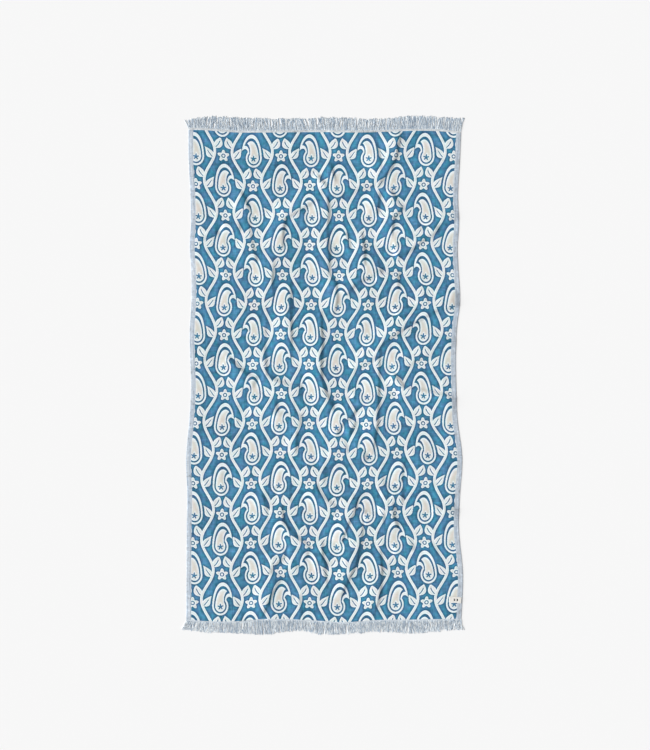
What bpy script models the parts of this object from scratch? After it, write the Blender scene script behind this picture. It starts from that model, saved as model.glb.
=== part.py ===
"""A turkish towel laid flat on a floor and seen from above.

It is one woven cloth with narrow side hems and soft raised creases, a fringe on a narrow
heading strip at each end, and a small folded label sewn over the lower right hem.
Metres, +Z up, +Y along the towel. The floor is at z = 0.
"""

import math
import random
from collections import namedtuple

import bmesh
import bpy
import numpy as np

# Cloth sizes

CLOTH_WIDTH = 0.940
CLOTH_THICKNESS = 0.0016
HEM_WIDTH = 0.017
HEM_SLOPE = 0.003
HEM_THICKNESS = 0.0024
INNER_COLUMNS = 52
ROWS = 60
FLAT_END = 0.030

# Heading and fringe sizes

PIECE_GAP = 0.0004
HEADING_WIDTH = 0.0065
LOCK_COUNT = 108
LOCK_SHARE_OF_PITCH = 0.74
BELLY_SHARE = 1.04
TIP_SHARE = 0.78
BELLY_PLACE = 0.52
BELLY_HEIGHT = 0.0022
TIP_HEIGHT = 0.0012
BEND_AT_BELLY = 0.40
LENGTH_JITTER = 0.0022
LEAN_JITTER = 0.0007

# Label sizes

LABEL_LENGTH = 0.043
LABEL_WIDTH = 0.021
LABEL_THICKNESS = 0.0010
LABEL_CENTRE = (0.4535, -0.7825)
LABEL_TURN = -4.0
LABEL_COLUMNS = 10

# Where the two long edges lie, at places along the towel

SideStation = namedtuple("SideStation", "along left right")

SIDES = [
    SideStation(-0.855, -0.4829, 0.4739),
    SideStation(-0.700, -0.4824, 0.4798),
    SideStation(-0.515, -0.4811, 0.4650),
    SideStation(-0.425, -0.4793, 0.4689),
    SideStation(-0.290, -0.4835, 0.4774),
    SideStation(-0.153, -0.4724, 0.4608),
    SideStation(-0.045, -0.4662, 0.4568),
    SideStation(0.050, -0.4690, 0.4550),
    SideStation(0.164, -0.4707, 0.4590),
    SideStation(0.260, -0.4650, 0.4697),
    SideStation(0.360, -0.4655, 0.4645),
    SideStation(0.440, -0.4705, 0.4612),
    SideStation(0.526, -0.4669, 0.4662),
    SideStation(0.620, -0.4680, 0.4626),
    SideStation(0.752, -0.4752, 0.4693),
    SideStation(0.850, -0.4757, 0.4737),
]

# Each end, at places across the towel: where the cloth stops, how far the fringe
# reaches, and how far its tips lean to +X

EndStation = namedtuple("EndStation", "across cloth tip lean")

TOP_END = [
    EndStation(-0.476, 0.8575, 0.8900, -0.0075),
    EndStation(-0.415, 0.8560, 0.9015, 0.0030),
    EndStation(-0.310, 0.8485, 0.9000, -0.0005),
    EndStation(-0.190, 0.8480, 0.8960, 0.0020),
    EndStation(-0.087, 0.8490, 0.8945, -0.0025),
    EndStation(0.000, 0.8495, 0.9000, 0.0010),
    EndStation(0.100, 0.8480, 0.8965, -0.0020),
    EndStation(0.212, 0.8505, 0.8955, 0.0025),
    EndStation(0.310, 0.8540, 0.9055, -0.0010),
    EndStation(0.400, 0.8520, 0.9000, 0.0020),
    EndStation(0.474, 0.8450, 0.8965, 0.0085),
]

BOTTOM_END = [
    EndStation(-0.483, -0.8505, -0.8860, -0.0150),
    EndStation(-0.415, -0.8565, -0.8950, -0.0050),
    EndStation(-0.310, -0.8580, -0.8990, 0.0010),
    EndStation(-0.200, -0.8500, -0.9040, -0.0020),
    EndStation(-0.110, -0.8510, -0.8905, 0.0025),
    EndStation(0.000, -0.8570, -0.9035, -0.0010),
    EndStation(0.060, -0.8610, -0.9020, 0.0020),
    EndStation(0.190, -0.8530, -0.8950, -0.0020),
    EndStation(0.310, -0.8520, -0.8995, 0.0020),
    EndStation(0.400, -0.8500, -0.8930, -0.0010),
    EndStation(0.474, -0.8485, -0.8855, 0.0065),
]

# Raised creases, each along a straight run: where its crest starts and stops, its half
# width, and how high it lifts the cloth at either end. Where runs meet, the higher counts.

Crease = namedtuple("Crease", "from_x from_y to_x to_y half_width from_rise to_rise")

# The long faint lines left by folding the towel in four along its length

FOLD_LINES = [
    Crease(-0.251, 0.818, -0.247, 0.435, 0.030, 0.0012, 0.0018),
    Crease(-0.247, 0.393, -0.247, 0.052, 0.030, 0.0018, 0.0012),
    Crease(-0.254, -0.087, -0.247, -0.400, 0.030, 0.0010, 0.0018),
    Crease(-0.233, -0.453, -0.219, -0.714, 0.030, 0.0016, 0.0014),
    Crease(-0.017, 0.818, -0.021, 0.721, 0.030, 0.0010, 0.0022),
    Crease(-0.010, 0.393, -0.024, 0.261, 0.030, 0.0020, 0.0024),
    Crease(0.017, -0.157, -0.010, -0.470, 0.030, 0.0016, 0.0018),
    Crease(-0.017, -0.728, -0.014, -0.825, 0.030, 0.0024, 0.0012),
    Crease(0.205, 0.313, 0.205, 0.010, 0.030, 0.0020, 0.0014),
    Crease(0.205, -0.279, 0.219, -0.463, 0.030, 0.0014, 0.0022),
    Crease(0.223, -0.526, 0.195, -0.651, 0.030, 0.0022, 0.0024),
]

# Single soft wrinkles, of one to four runs each

WRINKLES = [
    Crease(-0.031, 0.275, -0.031, 0.157, 0.034, 0.0020, 0.0066),
    Crease(-0.031, 0.157, -0.024, -0.024, 0.034, 0.0066, 0.0074),
    Crease(-0.024, -0.024, 0.021, -0.157, 0.032, 0.0054, 0.0016),
    Crease(-0.024, 0.728, -0.010, 0.644, 0.032, 0.0020, 0.0052),
    Crease(-0.010, 0.644, -0.003, 0.407, 0.032, 0.0050, 0.0040),
    Crease(-0.003, 0.407, 0.042, 0.272, 0.030, 0.0046, 0.0012),
    Crease(0.240, 0.853, 0.230, 0.749, 0.030, 0.0034, 0.0044),
    Crease(0.185, 0.825, 0.191, 0.679, 0.034, 0.0030, 0.0060),
    Crease(0.230, 0.749, 0.188, 0.658, 0.032, 0.0044, 0.0060),
    Crease(0.188, 0.658, 0.160, 0.561, 0.032, 0.0056, 0.0022),
    Crease(0.223, 0.595, 0.230, 0.512, 0.030, 0.0034, 0.0044),
    Crease(0.230, 0.512, 0.205, 0.310, 0.030, 0.0036, 0.0032),
    Crease(0.132, 0.526, 0.125, 0.414, 0.032, 0.0040, 0.0058),
    Crease(0.125, 0.414, 0.111, 0.303, 0.030, 0.0046, 0.0018),
    Crease(0.063, 0.512, 0.073, 0.442, 0.030, 0.0042, 0.0020),
    Crease(-0.285, 0.665, -0.331, 0.533, 0.032, 0.0046, 0.0036),
    Crease(-0.331, 0.533, -0.418, 0.463, 0.030, 0.0036, 0.0014),
    Crease(-0.265, 0.477, -0.254, 0.366, 0.032, 0.0046, 0.0036),
    Crease(-0.146, 0.599, -0.143, 0.505, 0.030, 0.0042, 0.0020),
    Crease(-0.115, 0.296, -0.129, 0.212, 0.030, 0.0036, 0.0030),
    Crease(0.268, 0.432, 0.400, 0.473, 0.032, 0.0030, 0.0052),
    Crease(0.400, 0.473, 0.453, 0.512, 0.032, 0.0052, 0.0020),
    Crease(0.456, 0.230, 0.373, 0.212, 0.034, 0.0030, 0.0054),
    Crease(0.373, 0.212, 0.261, 0.164, 0.034, 0.0054, 0.0044),
    Crease(0.261, 0.164, 0.195, 0.097, 0.034, 0.0044, 0.0052),
    Crease(0.195, 0.097, 0.167, 0.024, 0.032, 0.0050, 0.0014),
    Crease(0.251, 0.017, 0.247, -0.052, 0.030, 0.0038, 0.0030),
    Crease(-0.317, 0.031, -0.247, -0.017, 0.034, 0.0030, 0.0066),
    Crease(-0.247, -0.017, -0.136, -0.059, 0.034, 0.0064, 0.0020),
    Crease(0.167, -0.066, 0.160, -0.226, 0.034, 0.0042, 0.0066),
    Crease(0.160, -0.226, 0.136, -0.289, 0.032, 0.0050, 0.0014),
    Crease(0.077, -0.122, 0.049, -0.219, 0.030, 0.0040, 0.0026),
    Crease(-0.031, -0.327, 0.101, -0.299, 0.036, 0.0044, 0.0042),
    Crease(-0.393, -0.296, -0.383, -0.359, 0.032, 0.0036, 0.0026),
    Crease(-0.223, -0.386, -0.226, -0.470, 0.032, 0.0038, 0.0026),
    Crease(-0.157, -0.491, -0.118, -0.550, 0.034, 0.0040, 0.0064),
    Crease(-0.118, -0.550, -0.014, -0.648, 0.034, 0.0058, 0.0040),
    Crease(-0.014, -0.648, -0.017, -0.742, 0.032, 0.0040, 0.0030),
    Crease(0.080, -0.428, 0.073, -0.519, 0.032, 0.0052, 0.0040),
    Crease(0.125, -0.561, 0.094, -0.679, 0.030, 0.0036, 0.0026),
    Crease(0.226, -0.456, 0.223, -0.533, 0.032, 0.0060, 0.0036),
    Crease(0.191, -0.644, 0.167, -0.776, 0.032, 0.0044, 0.0038),
    Crease(-0.171, -0.707, -0.223, -0.808, 0.032, 0.0030, 0.0056),
    Crease(-0.080, -0.749, -0.077, -0.815, 0.030, 0.0036, 0.0026),
    Crease(0.066, -0.679, 0.070, -0.756, 0.030, 0.0040, 0.0024),
]

# Looks: colours as linear red, green and blue

CLOTH_COLOUR = (0.28, 0.42, 0.53)
FRINGE_COLOUR = (0.50, 0.57, 0.63)
LABEL_COLOUR = (0.80, 0.79, 0.76)
FABRIC_ROUGHNESS = 0.9
SHARP_EDGE = math.radians(40)


def clear_scene():
    for old in list(bpy.data.objects):
        bpy.data.objects.remove(old, do_unlink=True)


def fabric_material(name, colour):
    material = bpy.data.materials.new(name)
    material.use_nodes = True
    shader = material.node_tree.nodes["Principled BSDF"]
    shader.inputs["Base Color"].default_value = (*colour, 1.0)
    shader.inputs["Roughness"].default_value = FABRIC_ROUGHNESS
    shader.inputs["Metallic"].default_value = 0.0
    return material


def smooth_between(stations, column, at):
    """The named column at a place along the stations, on a smooth curve through them."""
    places = np.array([station[0] for station in stations])
    values = np.array([getattr(station, column) for station in stations])
    slopes = np.gradient(values, places)
    at = min(max(at, places[0]), places[-1])
    first = min(int(np.searchsorted(places, at, side="right")) - 1, len(places) - 2)
    span = places[first + 1] - places[first]
    share = (at - places[first]) / span
    rest = 1.0 - share
    from_values = values[first] * rest * rest * (1 + 2 * share)
    to_values = values[first + 1] * share * share * (1 + 2 * rest)
    from_slopes = slopes[first] * span * share * rest * rest
    to_slopes = slopes[first + 1] * span * share * share * rest
    return float(from_values + to_values + from_slopes - to_slopes)


def cloth_place(across, along):
    """Where a point of the cloth lies, from its shares of the width and of the length."""
    plain_x = CLOTH_WIDTH * (across - 0.5)
    bottom = smooth_between(BOTTOM_END, "cloth", plain_x)
    top = smooth_between(TOP_END, "cloth", plain_x)
    y = bottom + (top - bottom) * along
    left = smooth_between(SIDES, "left", y)
    right = smooth_between(SIDES, "right", y)
    return left + (right - left) * across, y


def hump(share):
    """1 in the middle, falling softly to 0 at a share of 1 either way."""
    if abs(share) >= 1.0:
        return 0.0
    return (1.0 - share * share) ** 2


def crease_lift(crease, x, y):
    """How far one run of a crease lifts the cloth at a place."""
    run_x = crease.to_x - crease.from_x
    run_y = crease.to_y - crease.from_y
    share = (x - crease.from_x) * run_x + (y - crease.from_y) * run_y
    share = min(max(share / (run_x * run_x + run_y * run_y), 0.0), 1.0)
    off_x = x - crease.from_x - share * run_x
    off_y = y - crease.from_y - share * run_y
    rise = crease.from_rise + (crease.to_rise - crease.from_rise) * share
    return rise * hump(math.hypot(off_x, off_y) / crease.half_width)


def crease_height(x, y):
    """How far the creases lift the cloth's underside off the floor."""
    height = max(crease_lift(crease, x, y) for crease in FOLD_LINES + WRINKLES)
    to_top = smooth_between(TOP_END, "cloth", x) - y
    to_bottom = y - smooth_between(BOTTOM_END, "cloth", x)
    from_end = min(to_top, to_bottom) / FLAT_END
    return height * min(max(from_end, 0.0), 1.0)


def cloth_thickness(x, y):
    """The cloth is doubled at the side hems and falls to its own thickness inside them."""
    left = smooth_between(SIDES, "left", y)
    right = smooth_between(SIDES, "right", y)
    from_edge = min(x - left, right - x)
    share = min(max((HEM_WIDTH - from_edge) / HEM_SLOPE, 0.0), 1.0)
    return CLOTH_THICKNESS + (HEM_THICKNESS - CLOTH_THICKNESS) * share


def cloth_columns():
    """Shares of the width for the mesh columns, with two at each edge for the hem."""
    hem_flat = (HEM_WIDTH - HEM_SLOPE) / CLOTH_WIDTH
    hem_end = HEM_WIDTH / CLOTH_WIDTH
    inner = [hem_end + (1 - 2 * hem_end) * n / INNER_COLUMNS for n in range(INNER_COLUMNS + 1)]
    return [0.0, hem_flat] + inner + [1.0 - hem_flat, 1.0]


def grid_sheet(columns, rows):
    """A flat mesh of columns by rows faces, with each vertex's column and row."""
    mesh = bmesh.new()
    bmesh.ops.create_grid(mesh, x_segments=columns, y_segments=rows, size=1.0)
    places = []
    for vertex in mesh.verts:
        column = round((vertex.co.x + 1.0) * 0.5 * columns)
        row = round((vertex.co.y + 1.0) * 0.5 * rows)
        places.append((vertex, column, row))
    return mesh, places


def extrude_up(mesh, thickness_at):
    """Close an open sheet: its faces become the underside, and a copy of them the top."""
    raised = bmesh.ops.extrude_face_region(mesh, geom=mesh.faces[:], use_keep_orig=True)
    for item in raised["geom"]:
        if isinstance(item, bmesh.types.BMVert):
            item.co.z += thickness_at(item.co.x, item.co.y)
    bmesh.ops.recalc_face_normals(mesh, faces=mesh.faces[:])


def finish_object(name, mesh, material):
    data = bpy.data.meshes.new(name)
    mesh.to_mesh(data)
    mesh.free()
    data.shade_smooth()
    data.set_sharp_from_angle(angle=SHARP_EDGE)
    data.materials.append(material)
    made = bpy.data.objects.new(name, data)
    bpy.context.scene.collection.objects.link(made)
    return made


def build_cloth():
    columns = cloth_columns()
    mesh, places = grid_sheet(len(columns) - 1, ROWS)
    for vertex, column, row in places:
        x, y = cloth_place(columns[column], row / ROWS)
        vertex.co = (x, y, crease_height(x, y))
    extrude_up(mesh, cloth_thickness)
    return finish_object("cloth", mesh, fabric_material("cloth", CLOTH_COLOUR))


def lock_breaks():
    """Shares of the heading's width where its locks start and stop, with a gap at each end."""
    half_gap = 0.5 * (1.0 - LOCK_SHARE_OF_PITCH)
    breaks = [0.0]
    for lock in range(LOCK_COUNT):
        breaks.append((lock + half_gap) / LOCK_COUNT)
        breaks.append((lock + 1 - half_gap) / LOCK_COUNT)
    breaks.append(1.0)
    return breaks


def by_place(faces):
    """Faces in order across the towel."""
    return sorted(faces, key=lambda face: face.calc_center_median().x)


def shape_lock_end(face, centre_x, y, width, height):
    """Move a lock's end face to its place, keeping its underside on the floor."""
    middle = face.calc_center_median()
    for vertex in face.verts:
        side = 1.0 if vertex.co.x > middle.x else -1.0
        level = height if vertex.co.z > middle.z else 0.0
        vertex.co = (centre_x + side * 0.5 * width, y, level)


def grow_locks(mesh, roots, stations, chance):
    """Extrude each root face to a belly and then to a tip, each lock leaning its own way."""
    width = LOCK_SHARE_OF_PITCH * CLOTH_WIDTH / LOCK_COUNT
    places = []
    for face in roots:
        root = face.calc_center_median()
        lean = smooth_between(stations, "lean", root.x) + chance.uniform(-1, 1) * LEAN_JITTER
        tip_y = smooth_between(stations, "tip", root.x) + chance.uniform(-1, 1) * LENGTH_JITTER
        places.append((root, lean, tip_y))

    bellies = by_place(bmesh.ops.extrude_discrete_faces(mesh, faces=roots)["faces"])
    for face, (root, lean, tip_y) in zip(bellies, places):
        belly_x = root.x + lean * BEND_AT_BELLY
        belly_y = root.y + (tip_y - root.y) * BELLY_PLACE
        shape_lock_end(face, belly_x, belly_y, width * BELLY_SHARE, BELLY_HEIGHT)

    tips = by_place(bmesh.ops.extrude_discrete_faces(mesh, faces=bellies)["faces"])
    for face, (root, lean, tip_y) in zip(tips, places):
        shape_lock_end(face, root.x + lean, tip_y, width * TIP_SHARE, TIP_HEIGHT)


def build_fringe(name, stations, outward, seed):
    """A heading strip with a row of four-sided locks that stand out from its far side."""
    cloth_end = 1 if outward > 0 else 0
    breaks = lock_breaks()
    mesh, places = grid_sheet(len(breaks) - 1, 1)
    for vertex, column, row in places:
        x, cloth_y = cloth_place(breaks[column], cloth_end)
        off_cloth = PIECE_GAP + (HEADING_WIDTH if row == cloth_end else 0.0)
        vertex.co = (x, cloth_y + outward * off_cloth, 0.0)
    extrude_up(mesh, lambda x, y: CLOTH_THICKNESS)
    far_side = by_place(face for face in mesh.faces if face.normal.y * outward > 0.5)
    lock_roots = far_side[1::2]
    grow_locks(mesh, lock_roots, stations, random.Random(seed))
    bmesh.ops.recalc_face_normals(mesh, faces=mesh.faces[:])
    return finish_object(name, mesh, fabric_material(name, FRINGE_COLOUR))


def build_label():
    """A folded tab that lies flat on the cloth and climbs just before the raised hem."""
    turn = math.radians(LABEL_TURN)
    mesh, places = grid_sheet(LABEL_COLUMNS, 1)
    for vertex, column, row in places:
        along = LABEL_LENGTH * (column / LABEL_COLUMNS - 0.5)
        across = LABEL_WIDTH * (row - 0.5)
        x = LABEL_CENTRE[0] + along * math.cos(turn) - across * math.sin(turn)
        y = LABEL_CENTRE[1] + along * math.sin(turn) + across * math.cos(turn)
        vertex.co = (x, y, cloth_thickness(x + HEM_SLOPE, y) + PIECE_GAP)
    extrude_up(mesh, lambda x, y: LABEL_THICKNESS)
    return finish_object("label", mesh, fabric_material("label", LABEL_COLOUR))


def centre_on_origin(pieces):
    """Slide every piece together so that the box around them is centred on x = y = 0."""
    corners = [vertex.co for piece in pieces for vertex in piece.data.vertices]
    middle_x = 0.5 * (min(c.x for c in corners) + max(c.x for c in corners))
    middle_y = 0.5 * (min(c.y for c in corners) + max(c.y for c in corners))
    for piece in pieces:
        piece.location = (-middle_x, -middle_y, 0.0)


def build_towel():
    clear_scene()
    cloth = build_cloth()
    fringe_top = build_fringe("fringe_top", TOP_END, 1.0, seed=11)
    fringe_bottom = build_fringe("fringe_bottom", BOTTOM_END, -1.0, seed=23)
    label = build_label()
    centre_on_origin([cloth, fringe_top, fringe_bottom, label])


build_towel()
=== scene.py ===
# %% [markdown]
# # A turkish towel, laid flat
#
# A turkish towel is one length of cotton woven flat on a loom. Two layers are woven at once
# and change places wherever the colour changes, so the back shows the same design with its
# colours swapped. The long edges are turned as narrow hems, and at both ends the warp yarns
# are left loose as a fringe.
#
# The lesson dresses a plain solid towel. The solid gives every size and place, and each new
# piece lies where the solid has it: a creased sheet for the cloth, several thousand yarns
# for the two fringes, two rows of hem stitches and a small bare label.

import math
import random
from collections import namedtuple
from types import SimpleNamespace

import bmesh
import bpy
import numpy as np
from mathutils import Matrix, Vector


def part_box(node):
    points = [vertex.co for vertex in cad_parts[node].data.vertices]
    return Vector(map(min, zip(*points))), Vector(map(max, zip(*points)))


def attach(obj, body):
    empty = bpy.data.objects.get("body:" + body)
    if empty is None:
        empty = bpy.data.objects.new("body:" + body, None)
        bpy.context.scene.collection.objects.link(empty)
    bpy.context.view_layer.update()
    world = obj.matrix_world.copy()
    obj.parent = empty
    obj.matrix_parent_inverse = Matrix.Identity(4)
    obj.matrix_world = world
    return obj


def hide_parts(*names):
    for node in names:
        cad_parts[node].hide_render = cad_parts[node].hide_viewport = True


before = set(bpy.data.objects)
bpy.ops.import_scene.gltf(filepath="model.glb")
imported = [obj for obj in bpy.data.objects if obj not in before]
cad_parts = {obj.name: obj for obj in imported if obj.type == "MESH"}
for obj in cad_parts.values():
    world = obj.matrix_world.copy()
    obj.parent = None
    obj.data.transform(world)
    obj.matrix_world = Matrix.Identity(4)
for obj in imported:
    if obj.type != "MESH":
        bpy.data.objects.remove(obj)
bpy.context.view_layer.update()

# %% [markdown]
# ## The outline
#
# A towel that someone has spread by hand has no straight edge. Each row below gives a place
# along the towel and where its left and right edges lie there, in metres. The two ends have
# rows across the towel: where the cloth stops, how far the fringe reaches, and how far its
# tips lean to the right. A smooth curve through the rows gives every place between them.

# %% The two long edges
def table(kind, *rows):
    """A list of rows whose columns have the names of their kind."""
    return [kind(*row) for row in rows]


SideStation = namedtuple("SideStation", "along left right")
SIDES = table(
    SideStation,
    (-0.855, -0.4829, 0.4739), (-0.700, -0.4824, 0.4798), (-0.515, -0.4811, 0.4650),
    (-0.425, -0.4793, 0.4689), (-0.290, -0.4835, 0.4774), (-0.153, -0.4724, 0.4608),
    (-0.045, -0.4662, 0.4568), (0.050, -0.4690, 0.4550), (0.164, -0.4707, 0.4590),
    (0.260, -0.4650, 0.4697), (0.360, -0.4655, 0.4645), (0.440, -0.4705, 0.4612),
    (0.526, -0.4669, 0.4662), (0.620, -0.4680, 0.4626), (0.752, -0.4752, 0.4693),
    (0.850, -0.4757, 0.4737),
)
print("The long edges have", len(SIDES), "stations")

# %% The two ends
EndStation = namedtuple("EndStation", "across cloth tip lean")
TOP_END = table(
    EndStation,
    (-0.476, 0.8575, 0.8900, -0.0075), (-0.415, 0.8560, 0.9015, 0.0030),
    (-0.310, 0.8485, 0.9000, -0.0005), (-0.190, 0.8480, 0.8960, 0.0020),
    (-0.087, 0.8490, 0.8945, -0.0025), (0.000, 0.8495, 0.9000, 0.0010),
    (0.100, 0.8480, 0.8965, -0.0020), (0.212, 0.8505, 0.8955, 0.0025),
    (0.310, 0.8540, 0.9055, -0.0010), (0.400, 0.8520, 0.9000, 0.0020),
    (0.474, 0.8450, 0.8965, 0.0085),
)
BOTTOM_END = table(
    EndStation,
    (-0.483, -0.8505, -0.8860, -0.0150), (-0.415, -0.8565, -0.8950, -0.0050),
    (-0.310, -0.8580, -0.8990, 0.0010), (-0.200, -0.8500, -0.9040, -0.0020),
    (-0.110, -0.8510, -0.8905, 0.0025), (0.000, -0.8570, -0.9035, -0.0010),
    (0.060, -0.8610, -0.9020, 0.0020), (0.190, -0.8530, -0.8950, -0.0020),
    (0.310, -0.8520, -0.8995, 0.0020), (0.400, -0.8500, -0.8930, -0.0010),
    (0.474, -0.8485, -0.8855, 0.0065),
)
print("The ends have", len(TOP_END), "and", len(BOTTOM_END), "stations")

# %% A smooth curve through the stations
CLOTH_WIDTH = 0.940
CLOTH_LENGTH = 1.706


def smooth_between(stations, column, at):
    """The named column at places along the stations, on a smooth curve through them."""
    places = np.array([station[0] for station in stations])
    values = np.array([getattr(station, column) for station in stations])
    slopes = np.gradient(values, places)
    at = np.clip(at, places[0], places[-1])
    first = np.clip(np.searchsorted(places, at, side="right") - 1, 0, len(places) - 2)
    span = places[first + 1] - places[first]
    share = (at - places[first]) / span
    rest = 1.0 - share
    from_values = values[first] * rest * rest * (1 + 2 * share)
    to_values = values[first + 1] * share * share * (1 + 2 * rest)
    from_slopes = slopes[first] * span * share * rest * rest
    to_slopes = slopes[first + 1] * span * share * share * rest
    return from_values + to_values + from_slopes - to_slopes


def side_edges(y):
    """Where the left and the right edge lie at places along the towel."""
    return smooth_between(SIDES, "left", y), smooth_between(SIDES, "right", y)


def end_edges(x):
    """Where the cloth stops at the bottom and at the top, at places across the towel."""
    return smooth_between(BOTTOM_END, "cloth", x), smooth_between(TOP_END, "cloth", x)


def cloth_place(across, along):
    """Where points of the cloth lie, from their shares of its width and of its length."""
    bottom, top = end_edges(CLOTH_WIDTH * (across - 0.5))
    y = bottom + (top - bottom) * along
    left, right = side_edges(y)
    return left + (right - left) * across, y


print("The middle of the cloth lies at", cloth_place(np.array(0.5), np.array(0.5)))

# %% [markdown]
# ## The creases
#
# Cotton keeps the creases of its folding and packing. From above each one is a thin dark line,
# because the cloth climbs to it gently on the side that the light comes from, and drops behind
# it within about a centimetre. Each row below follows one crease, in millimetres from the
# towel's middle. A third number is how far the cloth is lifted there, where that isn't the
# usual 6.8 mm. Long creases run along the towel, where it was folded, and the others are
# wrinkles that hands left.

# %% Creases along the towel
LENGTHWISE_CREASES = [
    [(10, 624), (14, 562, 6.1), (8, 503, 3.8), (13, 454, 6), (16, 412), (14, 355, 4.3), (40, 318),
     (44, 271, 4.2)],
    [(43, 296, 4.5), (42, 252, 5.2), (34, 217, 1.9)],
    [(-13, 212, 4.2), (-11, 148), (-7, 109), (-13, 59), (-11, -18), (4, -61), (28, -110, 6.3)],
    [(-8, -592, 3.7), (-8, -634, 5.9), (2, -658, 6.5)],
    [(-2, -673, 4.1), (6, -716, 4.4)],
    [(-287, 629), (-270, 594), (-256, 562, 2.2)],
    [(-265, 543, 2.9), (-259, 493, 2.5), (-249, 442, 4.3), (-238, 405, 3.9)],
    [(-177, 405, 2.1), (-183, 336, 6.3), (-177, 281, 3.3)],
    [(-118, 316, 2.6), (-118, 227), (-117, 153, 5.8), (-116, 64, 2.3)],
    [(-205, 197, 1.8), (-210, 109, 2.3), (-207, 54, 4.5), (-202, 10, 4.7)],
    [(-96, -205, 4.4), (-100, -259, 4)],
    [(-194, -328, 1.1), (-192, -389, 1.7)],
    [(-124, -328, 3.3), (-122, -372, 2.8), (-120, -432, 2.8)],
    [(-214, -424, 5.1), (-201, -466, 3.9), (-194, -512, 2.2)],
    [(266, 574), (240, 548), (235, 503), (239, 462, 4.6)],
    [(190, 59, 4.1), (189, 0, 3.8), (186, -99, 6.7), (184, -168), (176, -209), (170, -261, 2.6)],
    [(274, -314, 3.1), (268, -369, 3.1)],
    [(243, -464, 4.7), (239, -490), (251, -519, 6.7)],
    [(193, -619, 3.6), (199, -678), (196, -712, 3.4), (193, -759, 6.4), (185, -793, 4.8),
     (171, -829, 2.7)],
    [(77, 488, 5.9), (91, 438, 5.1)],
    [(130, 485, 5), (138, 444), (141, 380, 4.8)],
    [(190, 624, 5.1), (183, 567, 5.2)],
    [(140, -482, 4.6), (131, -537, 4.2), (122, -599, 5), (105, -665, 5.7), (77, -722),
     (59, -766, 4.1)],
    [(-87, -772, 1.7), (-81, -831, 4.1)],
]
print("Creases along the towel:", len(LENGTHWISE_CREASES))

# %% Wrinkles in the upper half
UPPER_WRINKLES = [
    [(264, 846), (259, 819), (249, 762), (231, 720), (203, 686)],
    [(184, 797, 4.5), (195, 745), (199, 691), (190, 665)],
    [(190, 665), (140, 648), (101, 639), (57, 625), (12, 620)],
    [(-20, 691), (5, 661)],
    [(22, 732, 4.1), (30, 700), (42, 666, 2.9)],
    [(12, 620), (-42, 599), (-96, 570), (-136, 545), (-144, 508), (-146, 454, 3.5)],
    [(-430, 474, 6.2), (-382, 488, 6.2)],
    [(-348, 529), (-302, 525)],
    [(232, 636), (244, 620)],
    [(261, 414), (318, 447), (357, 479), (389, 495)],
    [(247, 452), (298, 476), (335, 493, 6.4)],
    [(369, 505), (408, 523), (461, 541, 4.8)],
    [(79, 281, 3.8), (105, 313, 5.8), (142, 336, 5.4), (190, 350), (247, 352)],
    [(186, 67, 5.7), (190, 87), (201, 107), (237, 135), (286, 169), (347, 201), (397, 227),
     (458, 237)],
    [(266, 198), (298, 218), (359, 245, 6)],
    [(190, 67), (145, 38, 6.6), (105, 16, 3.9)],
    [(-330, 56, 4.6), (-304, 30), (-276, 9), (-244, -6, 5.5)],
    [(-203, 3), (-165, -20), (-130, -33), (-92, -35, 5.3)],
    [(382, 133, 6), (451, 127, 3.9)],
    [(264, 8, 2.7), (313, 47, 4.4), (357, 67, 5.7), (402, 73, 2.3)],
]
print("Wrinkles in the upper half:", len(UPPER_WRINKLES))

# %% Wrinkles in the lower half
LOWER_WRINKLES = [
    [(247, -3), (270, -32)],
    [(268, -44, 5), (328, -49, 5.2), (387, -63), (451, -75)],
    [(156, -102, 5), (113, -116), (93, -146), (63, -172), (46, -199, 5.8)],
    [(105, -173, 5.1), (89, -200, 6.7)],
    [(122, -215, 3), (115, -252, 2.8)],
    [(-249, -139, 2.1), (-175, -133, 5.7), (-92, -138, 5)],
    [(-6, -292, 4.8), (32, -284), (73, -273, 5.3)],
    [(-128, -320, 5), (-57, -316, 5.7), (-6, -320), (71, -310, 6.3), (134, -302, 5.3)],
    [(-148, -464, 4), (-143, -511), (-115, -547), (-94, -566), (-57, -592, 4.2)],
    [(-118, -598), (-67, -612, 4.4)],
    [(-31, -375, 2.7), (-21, -409, 5.5), (4, -433, 4.6), (44, -462, 3)],
    [(115, -424, 3.8), (104, -476), (85, -513), (61, -576, 5.5)],
    [(117, -421, 3.9), (150, -407, 4.4), (201, -398, 3.4), (261, -397, 6.7)],
    [(142, -483), (199, -482), (236, -475)],
    [(385, -460, 6.7), (458, -464)],
    [(375, -592, 2.6), (393, -630, 2.6)],
    [(252, -620, 5), (300, -608, 4.6)],
    [(-136, -626, 4.5), (-167, -657, 4.9), (-195, -691, 4.1), (-213, -724, 2)],
    [(-156, -712, 3.5), (-183, -759), (-199, -801), (-221, -843, 3.9)],
    [(-306, -636, 1.6), (-233, -625, 3.7), (-162, -608, 2.1)],
    [(-106, -649, 3.1), (-100, -665, 2.8)],
]
print("Wrinkles in the lower half:", len(LOWER_WRINKLES))

# %% Straight runs between the points of a crease
Run = namedtuple("Run", "start stop light_side shade_side from_rise to_rise")

USUAL_LIFT = 6.8
LIGHT_SIDE = 0.075
SHORTEST_SIDE = 0.030
SIDE_PER_REACH = 0.3
SHADE_SIDE = 0.0092


def crease_point(across, along, lift=USUAL_LIFT):
    """A point of a crease and its lift, turned from millimetres into metres."""
    return (across / 1000, along / 1000), lift / 1000


def runs_of(creases):
    """The straight runs between the points of each crease."""
    runs = []
    for crease in creases:
        points = [crease_point(*point) for point in crease]
        reach = math.dist(points[0][0], points[-1][0])
        light_side = min(LIGHT_SIDE, SHORTEST_SIDE + SIDE_PER_REACH * reach)
        for (start, from_rise), (stop, to_rise) in zip(points, points[1:]):
            runs.append(Run(start, stop, light_side, SHADE_SIDE, from_rise, to_rise))
    return runs


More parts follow.
